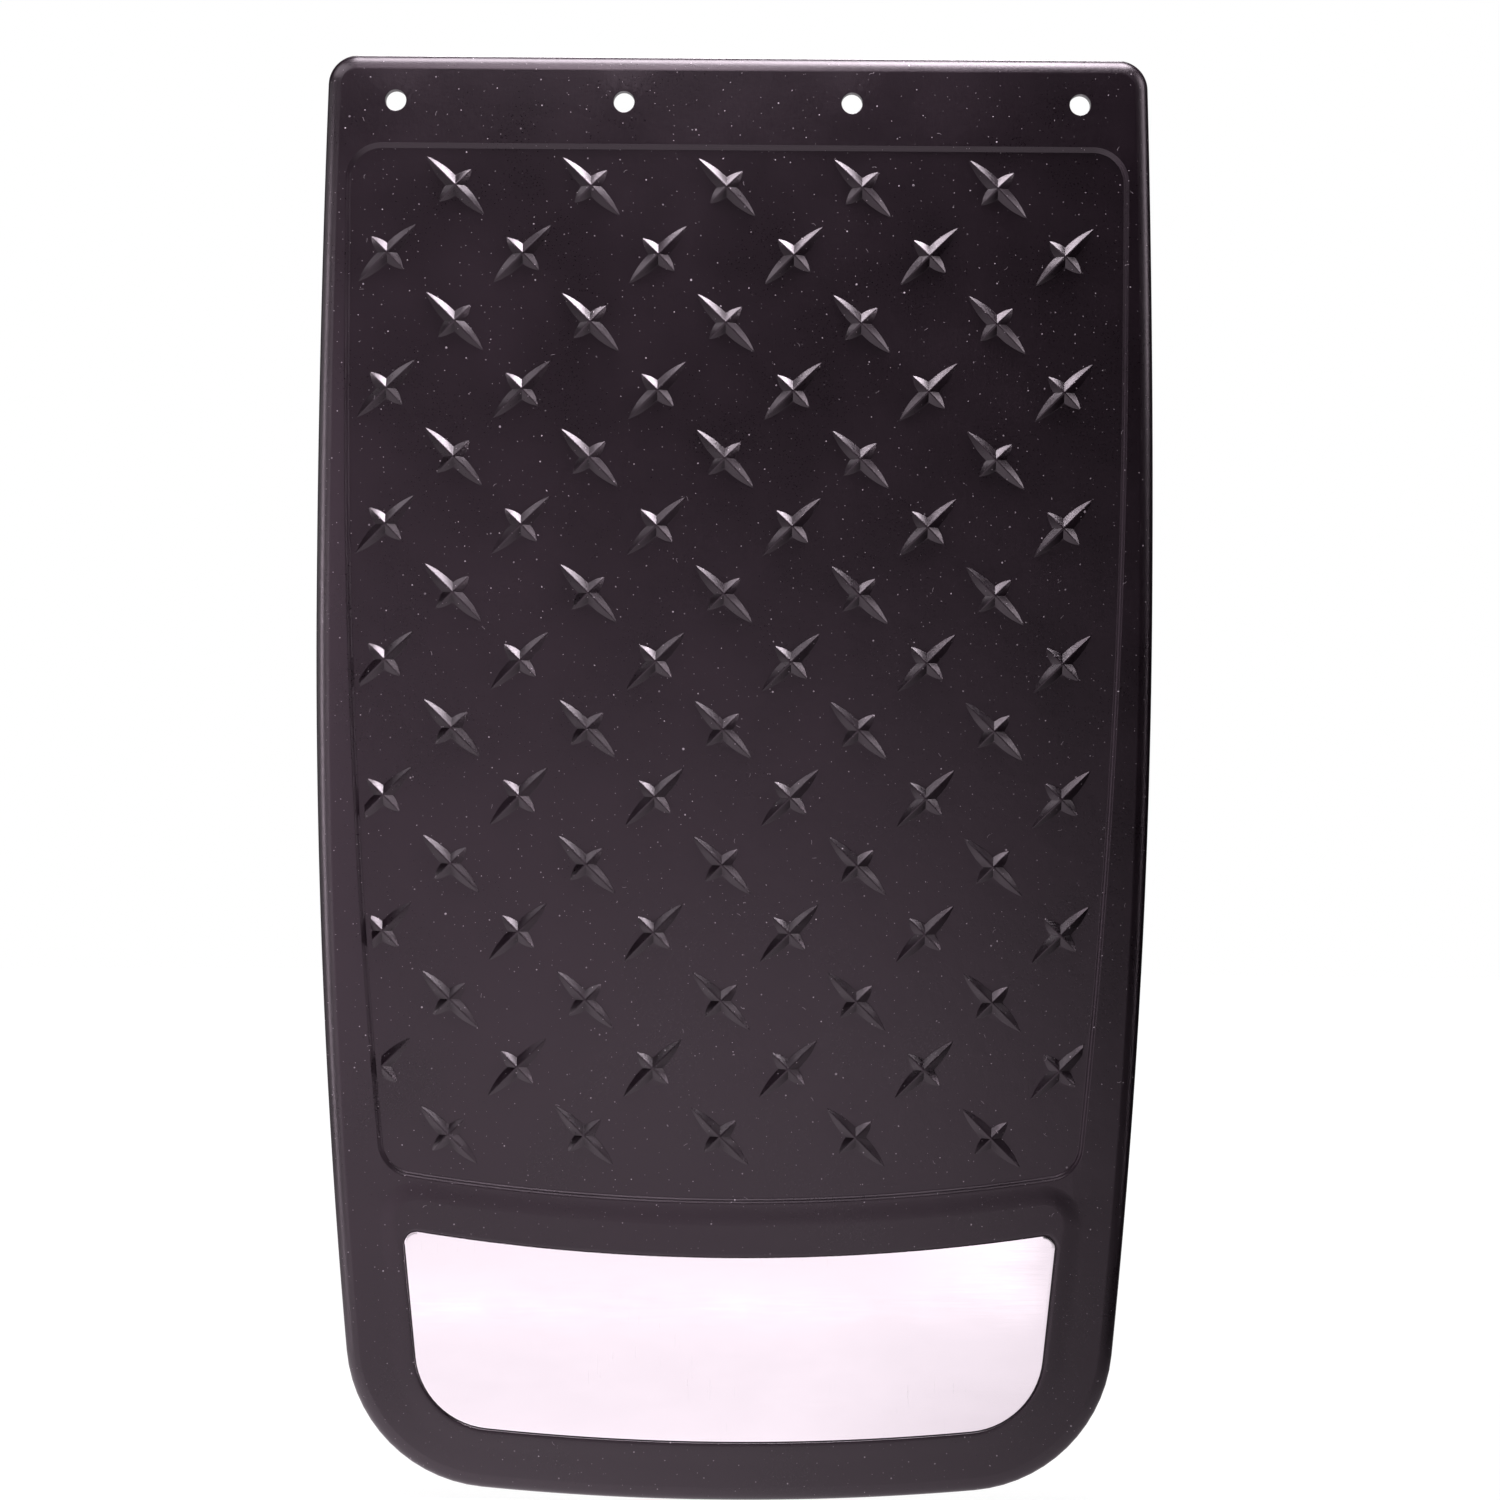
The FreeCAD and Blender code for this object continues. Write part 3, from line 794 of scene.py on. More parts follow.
def flap_mesh(settings):
    """The moulding: rim, border, field with its stars, surround, pocket, back and holes."""
    flap, field, stars = settings.flap, settings.field, settings.stars
    plate, fixings = settings.plate, settings.fixings
    back = -flap.pad_step
    front = back - flap.sheet_thickness
    skin = Skin()

    def rings_of(sides, rows):
        rings = [skin.ring(outline(sides, inset), y) for inset, y in rows]
        skin.bands(rings)
        return rings

    def hole(middle, rows):
        rings = [skin.ring(circle(middle, radius), y) for radius, y in rows]
        skin.bands(rings)
        return rings[0], rings[-1]

    # the rim, worn most where it meets its crease
    rim = rings_of(flap_sides(flap), rim_section(flap, back, front))
    rolled = rim[:-len(CREASE)]
    for ring in rolled:
        skin.wear.update((index, RIM_WEAR) for index in ring)
    skin.wear.update((index, 1.0) for index in rolled[-1])

    # the field's wall, and the stars standing on its floor
    rows = [(inset, front + share * field.depth) for inset, share in WALL]
    wall = rings_of(field_sides(field), rows)
    skin.patch(wall[-1], add_stars(skin, stars, field, front + field.depth))

    # the surround, the lip and the pocket that the plate lies in
    raised = front - plate.surround_rise
    slope = rings_of(surround_sides(plate, field), easing(
        -SURROUND_FOOT, front, plate.surround_run, raised, SURROUND_STEPS, SURROUND_ROUNDNESS))
    lip, side, pocket_floor = -(plate.clearance + plate.lip_run), -plate.clearance, PLATE_HIGH.y
    rows = [(lip, raised)]
    rows += rounding(lip, raised, side, raised + plate.lip_depth, 5, start_upright=False)
    pocket = rings_of(plate_sides(plate), rows + [(side, pocket_floor)])
    skin.patch(slope[-1], [pocket[0]])

    # the studs' holes and the washers' seats
    bore, seat, seat_floor = fixings.stud_hole_radius, fixings.seat_radius, WASHER_LOW.y
    rows = [
        (bore, pocket_floor), (bore, seat_floor), (seat - SEAT_CORNER, seat_floor),
        (seat, seat_floor + SEAT_CORNER), (seat, back - SEAT_EDGE), (seat + SEAT_EDGE, back),
    ]
    stud_rings, seat_rings = zip(*[hole(middle, rows) for middle in fixing_middles()])
    skin.patch(pocket[-1], stud_rings)

    # the mounting holes, from the border through to the pad's face
    lip, eased = flap.hole_lip, flap.hole_lip * 0.3
    rows = [
        (lip, front), (eased, front + eased), (0, front + lip),
        (0, -lip), (eased, -eased), (lip, 0),
    ]
    front_rings, pad_rings = zip(*[
        hole(middle, [(radius + grown, y) for grown, y in rows])
        for middle, radius in mounting_holes()
    ])

    # the pad, the back face and the border, which falls away towards the rim
    pad = [(0, back)] + [(inset, back * share) for inset, share in PAD_ROWS] + [(PAD_EDGE, 0)]
    pad = rings_of(pad_sides(flap), pad)
    skin.patch(pad[-1], pad_rings)
    skin.patch(rim[0], [*seat_rings, pad[0]])
    skin.patch(rim[-1], [wall[0], slope[0], *front_rings])
    return skin.mesh("moulded_flap")


# ---- the plate and its fixings

PLATE_INNER_ROW = 0.0012        # a row near the plate's edge keeps the flat's shading even
STUD_COUNT, WASHER_COUNT, NUT_COUNT = 32, 64, 72    # points round each kind of fixing
STUD_CORNER = 0.0001            # softening of a stud's foot
THREAD_ROWS = 8                 # rows in one turn of the thread
THREAD_SLOPE = 2.4              # steepness of the thread's flanks
TIP_SHARE, TIP_SLOPE = 0.9, 1.1  # a stud's tip: radius as a share of the thread's root, and slope
FACE_SHARE = 0.95               # radius of a nut's flat end, as a share of its half width
CORNER_SHARE = 1.135            # and of its corners, which are turned off
CHAMFER_SLOPE = 0.58            # of the turned-off corners
BORE_CHAMFER = 0.0003
# the end of a nut's collar, as (distance inside its radius, distance below its top)
COLLAR_END = ((0, 0.0005), (0.00012, 0.00018), (0.0004, 0), (0.00052, 0.0001))


def plate_mesh(plate):
    """The trim plate with its front edge softened."""
    front, back, edge = PLATE_LOW.y, PLATE_HIGH.y, plate.edge_radius
    rows = [(edge * 0.5, back), (0, back - edge * 0.5), (0, front + edge)]
    rows += rounding(0, front + edge, edge, front, 4)
    rows.append((PLATE_INNER_ROW, front))
    skin = Skin()
    rings = [skin.ring(outline(plate_sides(plate), inset), y) for inset, y in rows]
    skin.bands(rings)
    skin.patch(rings[0])
    skin.patch(rings[-1])
    return skin.mesh("polished_plate")


def turned(skin, middle, rows, count):
    """Rings of a part turned about the Y axis, from its (radius, y) rows."""
    return [skin.ring(circle(middle, radius, count), y) for radius, y in rows]


def stud_mesh(fixings, middle, number):
    """A weld stud: its foot, a plain shank inside the flap and a threaded end."""
    low, high = STUD_LOW.y, STUD_HIGH.y
    foot, foot_top = (STUD_HIGH.x - STUD_LOW.x) / 2, low + fixings.foot_thickness
    radius, pitch = fixings.stud_radius, fixings.thread_pitch
    root = radius - fixings.thread_depth
    thread_start = NUT_HIGH.y - 2 * pitch
    skin = Skin()
    rings = turned(skin, middle, [
        (foot, low), (foot, foot_top - STUD_CORNER), (foot - STUD_CORNER, foot_top),
        (radius, foot_top + STUD_CORNER), (radius, thread_start - 2 * STUD_CORNER),
    ], STUD_COUNT)
    rows = math.ceil((high - thread_start) / (pitch / THREAD_ROWS))
    for row in range(rows + 1):
        y = thread_start + (high - thread_start) * row / rows
        limit = min(radius, root * TIP_SHARE + (high - y) * TIP_SLOPE)
        ring = []
        for step in range(STUD_COUNT):
            angle = 2 * math.pi * step / STUD_COUNT
            turn = (y / pitch - step / STUD_COUNT) % 1.0
            reach = min(limit, root + (radius - root) * min(1.0, THREAD_SLOPE * abs(turn - 0.5)))
            ring.append(skin.around(middle, reach, angle, y))
        rings.append(ring)
    skin.bands(rings)
    skin.face(rings[0])
    skin.face(rings[-1])
    return skin.mesh("weld_stud_%d" % number)


def washer_mesh(fixings, middle, number):
    """A flat washer with softened edges."""
    low, high = WASHER_LOW.y, WASHER_HIGH.y
    outer = (WASHER_HIGH.x - WASHER_LOW.x) / 2
    bore, edge = fixings.washer_bore_radius, fixings.washer_edge
    skin = Skin()
    rings = turned(skin, middle, [
        (bore, low + edge), (bore + edge, low), (outer - edge, low), (outer, low + edge),
        (outer, high - edge * 1.6), (outer - edge * 0.5, high - edge * 0.6),
        (outer - edge * 1.6, high), (bore + edge, high), (bore, high - edge),
    ], WASHER_COUNT)
    skin.bands(rings + rings[:1])
    return skin.mesh("plain_washer_%d" % number)


def nut_mesh(fixings, middle, number):
    """A lock nut: a chamfered hexagon, a round collar and a nylon ring in the collar."""
    low, high = NUT_LOW.y, NUT_HIGH.y
    bore, collar = fixings.nut_bore_radius, fixings.nut_collar_radius
    flat = fixings.nut_across_flats / 2
    face = flat * FACE_SHARE
    shoulder = low + fixings.nut_hex_height
    skin = Skin()

    def hexagon(y_at):
        ring = []
        for step in range(NUT_COUNT):
            angle = 2 * math.pi * step / NUT_COUNT
            off_flat = (angle % (math.pi / 3)) - math.pi / 6
            reach = min(flat / math.cos(off_flat), flat * CORNER_SHARE)
            ring.append(skin.around(middle, reach, angle, y_at(reach)))
        return ring

    rings = turned(skin, middle, (
        (bore, low + BORE_CHAMFER), (bore + BORE_CHAMFER, low), (face, low),
    ), NUT_COUNT)
    rings.append(hexagon(lambda reach: low + (reach - face) * CHAMFER_SLOPE))
    rings.append(hexagon(lambda reach: shoulder - (reach - face) * CHAMFER_SLOPE))
    rings += turned(skin, middle, (
        (face, shoulder), (collar + 0.00012, shoulder), (collar, shoulder + 0.00015),
        *((collar - inside, high - below) for inside, below in COLLAR_END),
    ), NUT_COUNT)
    skin.bands(rings)
    nylon = rings[-1:] + turned(skin, middle, (
        (collar - 0.00055, high - 0.0003), (bore + 0.0001, high - 0.00035), (bore, high - 0.00045),
    ), NUT_COUNT)
    skin.bands(nylon, 1)
    skin.band(nylon[-1], rings[0])
    return skin.mesh("nylon_lock_nut_%d" % number)


# ---- materials

class Nodes:
    """The nodes of one material or of the world; most methods add one and return its output."""

    def __init__(self, tree):
        self.tree = tree

    def feed(self, node, inputs):
        """Give a node's inputs, by name or place, a value or another node's output."""
        for name, value in inputs.items():
            socket = node.inputs[name]
            if isinstance(value, bpy.types.NodeSocket):
                self.tree.links.new(value, socket)
            else:
                socket.default_value = value

    def add(self, kind, inputs=None, **settings):
        """A new node with its settings and inputs."""
        node = self.tree.nodes.new("ShaderNode" + kind)
        for name, value in settings.items():
            setattr(node, name, value)
        self.feed(node, inputs or {})
        return node

    def place(self):
        """Where a point lies, in the frame's axes."""
        return self.add("TexCoord").outputs["Object"]

    def parts(self, place):
        """X, Y and Z of a place."""
        return self.add("SeparateXYZ", {"Vector": place}).outputs

    def calculate(self, operation, *values, clamp=False):
        """The result of one math node."""
        values = dict(enumerate(values))
        return self.add("Math", values, operation=operation, use_clamp=clamp).outputs[0]

    def plus(self, first, second, clamp=False):
        return self.calculate("ADD", first, second, clamp=clamp)

    def times(self, first, second):
        return self.calculate("MULTIPLY", first, second)

    def larger(self, first, second):
        return self.calculate("MAXIMUM", first, second)

    def vector(self, operation, *values):
        """The results of one vector math node."""
        return self.add("VectorMath", dict(enumerate(values)), operation=operation).outputs

    def spread(self, value, from_low, from_high, to_low=0.0, to_high=1.0, **settings):
        """A value carried from one range to another, held at both ends."""
        return self.add("MapRange", {
            "Value": value, "From Min": from_low, "From Max": from_high,
            "To Min": to_low, "To Max": to_high,
        }, clamp=True, **settings).outputs["Result"]

    def noise(self, place, scale, detail, rough):
        return self.add("TexNoise", {
            "Vector": place, "Scale": scale, "Detail": detail, "Roughness": rough,
        }).outputs["Fac"]

    def stretched(self, place, scale):
        """The place with each axis scaled on its own, for streaks."""
        return self.add("Mapping", {"Vector": place, "Scale": scale}).outputs["Vector"]

    def blend(self, factor, first, second):
        """A colour between two others."""
        return self.add("Mix", {0: factor, 6: first, 7: second}, data_type="RGBA").outputs[2]

    def bump(self, height, strength, distance, **over):
        """The surface's direction with a relief added, over another relief if one is given."""
        return self.add("Bump", {
            "Height": height, "Strength": strength, "Distance": distance, **over,
        }).outputs["Normal"]


def new_material(name):
    """An empty material, its nodes and its main shader."""
    material = bpy.data.materials.new(name)
    material.use_nodes = True
    return material, Nodes(material.node_tree), material.node_tree.nodes["Principled BSDF"]


def shade(colour, share=1.0):
    """A colour made darker or lighter by a share, with its alpha."""
    return (*(share * part for part in colour), 1.0)


def face_on(nodes, place):
    """The place as seen square on: X and Z become the first two coordinates."""
    parts = nodes.parts(place)
    return nodes.add("CombineXYZ", {"X": parts["X"], "Y": parts["Z"]}).outputs["Vector"]


def scattered(nodes, flat, spacing, share):
    """Random cells over the flat place: the texture, random numbers and whether each is chosen."""
    cells = {"Vector": flat, "Scale": 1 / spacing}
    cells = nodes.add("TexVoronoi", cells, voronoi_dimensions="2D").outputs
    parts = nodes.add("SeparateColor", {"Color": cells["Color"]}).outputs
    return cells, parts, nodes.calculate("LESS_THAN", parts["Red"], share)


def specks(nodes, flat, spacing, radius, share):
    """Small round specks of uneven size and strength, one in each chosen cell."""
    cells, parts, chosen = scattered(nodes, flat, spacing, share)
    size = nodes.spread(parts["Green"], 0, 1, 0.3 * radius / spacing, radius / spacing)
    dot = nodes.spread(nodes.calculate("DIVIDE", cells["Distance"], size), 0.6, 1.0, 1.0, 0.0)
    return nodes.times(dot, nodes.times(chosen, nodes.spread(parts["Blue"], 0, 1, 0.3, 1)))


def fibres(nodes, flat, spacing, length, width, share):
    """Short bent fibres, each turned its own way, one in each chosen cell."""
    cells, parts, chosen = scattered(nodes, flat, spacing, share)
    across = nodes.vector("SUBTRACT", flat, cells["Position"])[0]
    turn = nodes.times(parts["Green"], 2 * math.pi)
    turned_by = nodes.add("VectorRotate", {"Vector": across, "Angle": turn}, rotation_type="Z_AXIS")
    own = nodes.parts(turned_by.outputs[0])
    bend = nodes.times(nodes.spread(parts["Blue"], 0, 1, -0.9, 0.9), 1 / length)
    sag = nodes.times(nodes.times(own["X"], own["X"]), bend)
    off = nodes.calculate("ABSOLUTE", nodes.calculate("SUBTRACT", own["Y"], sag))
    thin = nodes.spread(off, 0.3 * width, 0.5 * width, 1.0, 0.0)
    ends = nodes.spread(nodes.calculate("ABSOLUTE", own["X"]), 0.4 * length, 0.5 * length, 1.0, 0.0)
    return nodes.times(nodes.times(thin, ends), chosen)


def rubber_material(finishes):
    """Black moulded rubber: fine grain, faint mottling, dust, fibres and scuffs on raised edges."""
    material, nodes, shader = new_material("black_moulded_rubber")
    place = nodes.place()
    flat = face_on(nodes, place)
    colour = finishes.rubber

    # the rubber itself, clouded and with a paler bloom in places
    mottle = nodes.noise(place, 22.0, 4.0, 0.6)
    grain = nodes.noise(place, 1400.0, 3.0, 0.6)
    bloom = nodes.spread(nodes.noise(place, 70.0, 5.0, 0.65), 0.42, 0.75, 0, 0.25)
    bloom = nodes.times(bloom, nodes.spread(grain, 0.35, 0.65))
    base = nodes.blend(nodes.spread(mottle, 0.3, 0.7), shade(colour, 0.72), shade(colour, 1.3))
    base = nodes.blend(bloom, base, shade(colour, 1.9))

    # what lies on it or has rubbed it
    dust = nodes.larger(
        specks(nodes, flat, spacing=0.0085, radius=0.00032, share=0.6),
        specks(nodes, flat, spacing=0.027, radius=0.00048, share=0.5),
    )
    fine_dust = specks(nodes, flat, spacing=0.0036, radius=0.0002, share=0.45)
    dust = nodes.larger(dust, nodes.times(fine_dust, 0.8))
    lint = fibres(nodes, flat, spacing=0.021, length=0.0016, width=0.00016, share=0.3)
    worn = nodes.add("Attribute", attribute_name="wear").outputs["Fac"]
    streaks = nodes.noise(nodes.stretched(place, (1.0, 1.0, 0.12)), 2600.0, 3.0, 0.7)
    patches = nodes.spread(nodes.noise(place, 60.0, 3.0, 0.6), 0.5, 0.7)
    scuffs = nodes.times(nodes.spread(streaks, 0.52, 0.68), patches)
    scuffs = nodes.times(scuffs, nodes.times(worn, 0.10))
    marks = nodes.larger(nodes.larger(dust, nodes.times(lint, 0.5)), scuffs)

    clouds = nodes.spread(mottle, 0.3, 0.7, -0.02, 0.03)
    rough = nodes.plus(nodes.spread(grain, 0.3, 0.7, 0.27, 0.35), clouds)
    waves = nodes.noise(place, 160.0, 3.0, 0.55)
    relief = nodes.bump(grain, strength=0.35, distance=0.00006)
    relief = nodes.bump(waves, strength=0.4, distance=0.0001, Normal=relief)
    nodes.feed(shader, {
        "Base Color": nodes.blend(marks, base, shade(finishes.dust)),
        "Specular Tint": (1.0, 0.88, 0.97, 1.0),
        "Specular IOR Level": 0.62,
        "Roughness": nodes.plus(rough, nodes.times(marks, 0.35), clamp=True),
        "Normal": nodes.bump(dust, strength=0.6, distance=0.0001, Normal=relief),
    })
    return material


def plate_material(finishes):
    """Polished stainless steel: faint rolling lines, hairline marks and handling smears."""
    material, nodes, shader = new_material("polished_stainless")
    place = nodes.place()
    colour = finishes.plate
    smear = nodes.noise(nodes.stretched(place, (1.0, 1.0, 2.2)), 26.0, 4.0, 0.6)
    smear = nodes.spread(smear, 0.35, 0.75)
    rolled = nodes.noise(nodes.stretched(place, (0.03, 1.0, 1.0)), 2200.0, 3.0, 0.6)
    hairlines = nodes.noise(nodes.stretched(place, (1.0, 1.0, 0.02)), 3200.0, 1.0, 0.5)
    patches = nodes.spread(nodes.noise(place, 40.0, 2.0, 0.5), 0.52, 0.62)
    hairlines = nodes.times(nodes.times(nodes.spread(hairlines, 0.74, 0.77), patches), 0.2)
    lines = nodes.spread(rolled, 0.3, 0.7, 0, 0.05)
    rough = nodes.plus(nodes.spread(smear, 0, 1, 0.07, 0.13), lines)
    base = nodes.blend(smear, shade(colour), shade(colour, 0.965))
    nodes.feed(shader, {
        "Base Color": nodes.blend(hairlines, base, shade(colour, 0.75)),
        "Metallic": 1.0,
        "Roughness": nodes.plus(rough, hairlines),
        "Normal": nodes.bump(rolled, strength=0.05, distance=0.00001),
    })
    return material


def steel_material(name, colour, roughness):
    """Steel with a cloudy finish and fine dark pits."""
    material, nodes, shader = new_material(name)
    place = nodes.place()
    cloud = nodes.spread(nodes.noise(place, 450.0, 4.0, 0.6), 0.3, 0.7)
    pits = nodes.noise(place, 5200.0, 2.0, 0.6)
    dark = nodes.spread(pits, 0.62, 0.72, 0, 0.5)
    base = nodes.blend(cloud, shade(colour, 0.82), shade(colour, 1.1))
    nodes.feed(shader, {
        "Base Color": nodes.blend(dark, base, shade(colour, 0.45)),
        "Metallic": 1.0,
        "Roughness": nodes.spread(cloud, 0, 1, roughness, roughness + 0.12),
        "Normal": nodes.bump(pits, strength=0.25, distance=0.00003),
    })
    return material


def nylon_material(finishes):
    """The lock nuts' nylon rings: milky plastic, a little scraped by the thread."""
    material, nodes, shader = new_material("locking_nylon")
    scraped = nodes.spread(nodes.noise(nodes.place(), 1800.0, 3.0, 0.6), 0.4, 0.7)
    nodes.feed(shader, {
        "Base Color": nodes.blend(scraped, shade(finishes.ring), shade(finishes.ring, 0.8)),
        "Roughness": nodes.spread(scraped, 0, 1, 0.35, 0.55),
    })
    return material


# ---- the studio

LAMPS = (
    # name, place, aimed at,
    # width, height, watts, colour, spread in degrees
    ("overhead_strip", (0.14, -0.12, 0.34), (-0.05, 0.0, -0.21),
     0.34, 0.16, 0.483, (1.0, 0.97, 1.0), 56),
    ("near_overhead_strip", (-0.02, -0.04, 0.22), (-0.02, 0.0, -0.15),
     0.30, 0.10, 1.67, (1.0, 0.97, 1.0), 180),
    ("left_high_strip", (-0.27, -0.11, 0.14), (-0.06, 0.0, -0.16),
     0.20, 0.12, 0.258, (1.0, 0.97, 1.0), 180),
    ("high_front_softbox", (-0.06, -0.28, 0.20), (-0.05, 0.0, -0.38),
     0.16, 0.26, 0.625, (1.0, 0.90, 0.97), 180),
    ("right_high_strip", (0.38, -0.10, 0.08), (-0.18, 0.0, -0.13),
     0.10, 0.30, 0.067, (1.0, 0.95, 0.98), 50),
    ("right_skimming_strip", (0.36, -0.12, -0.20), (-0.64, -0.12, -0.25),
     0.10, 0.36, 0.5, (1.0, 0.90, 0.97), 38),
    ("left_rim_strip", (-0.50, -0.14, -0.22), (-0.15, 0.016, -0.22),
     0.10, 0.46, 0.032, (1.0, 0.93, 0.98), 20),
    ("left_rim_softbox", (-0.45, -0.36, -0.22), (-0.17, 0.0, -0.22),
     0.12, 0.46, 0.015, (1.0, 0.90, 0.97), 22),
    ("left_border_strip", (-0.33, -0.60, -0.24), (-0.13, 0.0, -0.24),
     0.12, 0.46, 0.312, (1.0, 0.80, 0.95), 180),
    ("left_front_softbox", (-0.26, -0.60, -0.19), (-0.10, 0.0, -0.19),
     0.28, 0.30, 0.104, (1.0, 0.82, 0.95), 180),
    ("front_softbox", (-0.005, -0.60, -0.29), (0.0, 0.0, -0.29),
     0.24, 0.25, 0.118, (1.0, 0.82, 0.95), 180),
    ("low_front_strip", (-0.05, -0.52, -0.39), (-0.04, 0.0, -0.39),
     0.37, 0.15, 0.080, (1.0, 0.94, 0.98), 180),
    ("back_softbox", (0.0, 1.2, 0.9), (0.0, 0.0, -0.3),
     0.6, 0.6, 12.0, (1.0, 0.97, 1.0), 180),
)
GLOWS = (
    # what gloss sees of the world: towards, how much each axis counts,
    # cosines where it starts and where it is full, strength
    ((-0.90, -0.43, 0.0), (1.0, 0.8, 3.5), 0.60, 0.90, 0.14),
    ((-1.0, 0.08, 0.0), (1.0, 1.0, 2.0), 0.85, 0.97, 0.95),
    ((0.0, 1.0, 0.0), (1.0, 1.0, 1.0), 0.80, 0.97, 0.7),
)
# how brightly gloss sees the floor: just below the flap at its left and right, and ahead of it
FLOOR_BELOW_LEFT, FLOOR_BELOW_RIGHT = 2.07, 1.173
FLOOR_AHEAD = 1.05
FLOOR_BEHIND_LAMPS = 0.56       # share of it that is left behind the lamps in front of the flap
FLOOR_FAR_LEFT = 0.4            # and far to the left
FLOOR_RADIUS = 4.0
SENSOR_WIDTH = 36.0             # of the camera, in millimetres


def add_lamp(name, place, aim, width, height, power, colour, cone):
    """A soft rectangular lamp that the camera doesn't see."""
    light = bpy.data.lights.new(name, "AREA")
    light.shape = "RECTANGLE"
    light.size, light.size_y = width, height
    light.energy = power
    light.color = colour
    light.spread = math.radians(cone)
    lamp = bpy.data.objects.new(name, light)
    lamp.location = place
    lamp.rotation_euler = (Vector(aim) - Vector(place)).to_track_quat("-Z", "Y").to_euler()
    lamp.visible_camera = False
    bpy.context.scene.collection.objects.link(lamp)


def make_world(studio):
    """Faint even light. The camera sees white, and gloss sees a few broad glows."""
    world = bpy.data.worlds.new("studio_light")
    bpy.context.scene.world = world
    world.use_nodes = True
    world.node_tree.nodes.clear()
    nodes = Nodes(world.node_tree)
    rays = nodes.add("LightPath").outputs
    direction = nodes.add("TexCoord").outputs["Generated"]
    glow = 0.0
    for toward, squeeze, start, full, strength in GLOWS:
        scaled = nodes.vector("NORMALIZE", nodes.vector("MULTIPLY", direction, squeeze)[0])[0]
        facing = nodes.vector("DOT_PRODUCT", scaled, toward)["Value"]
        glow = nodes.plus(glow, nodes.spread(
            facing, start, full, 0.0, strength * studio.card, interpolation_type="SMOOTHSTEP"))
    white, even, gloss = (
        nodes.add("Background", {"Color": colour, "Strength": strength}).outputs[0]
        for colour, strength in (
            ((1, 1, 1, 1), 1.0), ((1, 0.98, 1, 1), studio.sky), ((1, 0.99, 1, 1), glow),
        )
    )
    unseen = nodes.add("MixShader", {0: rays["Is Glossy Ray"], 1: even, 2: gloss}).outputs[0]
    seen = nodes.larger(rays["Is Camera Ray"], rays["Is Transmission Ray"])
    result = nodes.add("MixShader", {0: seen, 1: unseen, 2: white}).outputs[0]
    nodes.add("OutputWorld", {"Surface": result})


def floor_material(finishes):
    """Pale floor: nearly white to the camera, with the object's shadow, and glowing to gloss."""
    material, nodes, shader = new_material("pale_floor")
    place = nodes.place()
    spot = nodes.parts(place)
    rays = nodes.add("LightPath").outputs
    colour = finishes.floor
    tone = nodes.spread(nodes.noise(place, 3.0, 3.0, 0.5), 0.3, 0.7)
    nodes.feed(shader, {
        "Base Color": nodes.blend(tone, shade(colour), shade(colour, 0.985)), "Roughness": 0.9,
    })

    # the glow, by the distance from the flap's plane and by X
    away = nodes.calculate("ABSOLUTE", spot["Y"])
    below = nodes.spread(spot["X"], -0.27, 0.02, FLOOR_BELOW_LEFT, FLOOR_BELOW_RIGHT)
    behind_lamps = nodes.spread(spot["X"], 0.07, 0.16, FLOOR_BEHIND_LAMPS, 1.0)
    half_width = nodes.spread(away, 0.18, 0.32, 0.40, 0.76)
    glow = nodes.spread(away, 0.02, 0.18, below, FLOOR_AHEAD)
    for fade in (
        nodes.spread(away, 0.50, 0.70, 1.0, behind_lamps),
        nodes.spread(nodes.calculate("DIVIDE", spot["X"], half_width), 0.05, 1.0, 1.0, 0.0),
        nodes.spread(spot["X"], -0.75, -0.20, FLOOR_FAR_LEFT, 1.0),
    ):
        glow = nodes.times(glow, fade)

    # the camera sees four parts of white to one of the floor in its own light
    far = nodes.vector("LENGTH", place)["Value"]
    white = nodes.spread(far, 0.5, 1.5, 1.15, 1.3)
    white, glow = (
        nodes.add("Emission", {"Color": tint, "Strength": strength}).outputs[0]
        for tint, strength in (((1, 1, 1, 1), white), ((1, 0.93, 0.98, 1), glow))
    )
    seen = nodes.larger(nodes.times(rays["Is Camera Ray"], 0.8), rays["Is Transmission Ray"])
    mixed = nodes.add("MixShader", {0: seen, 1: shader.outputs[0], 2: white}).outputs[0]
    mixed = nodes.add("MixShader", {0: rays["Is Glossy Ray"], 1: mixed, 2: glow}).outputs[0]
    nodes.feed(nodes.tree.nodes["Material Output"], {"Surface": mixed})
    return material


def make_floor(finishes):
    """A round pale floor just under the flap."""
    beneath = Matrix.Translation((0, 0, CAD_BOX[0].z))
    work = bmesh.new()
    bmesh.ops.create_circle(work, cap_ends=True, segments=96, radius=FLOOR_RADIUS, matrix=beneath)
    mesh = bpy.data.meshes.new("studio_floor")
    work.to_mesh(mesh)
    work.free()
    floor = bpy.data.objects.new("studio_floor", mesh)
    mesh.materials.append(floor_material(finishes))
    bpy.context.scene.collection.objects.link(floor)


def make_camera(studio):
    """A long lens square to the flap's front."""
    data = bpy.data.cameras.new("studio_camera")
    data.lens = studio.lens
    data.sensor_width = SENSOR_WIDTH
    data.clip_end = 100.0
    camera = bpy.data.objects.new("studio_camera", data)
    distance = studio.view_width * studio.lens / data.sensor_width
    stand = Matrix.Translation((studio.view_x, FLAP_LOW.y - distance, studio.view_z))
    turn = Matrix.Rotation(math.radians(90), 4, "X") @ Matrix.Rotation(studio.roll, 4, "Z")
    camera.matrix_world = stand @ turn
    bpy.context.scene.collection.objects.link(camera)
    bpy.context.scene.camera = camera


# ---- operators, one for each piece or group of like pieces

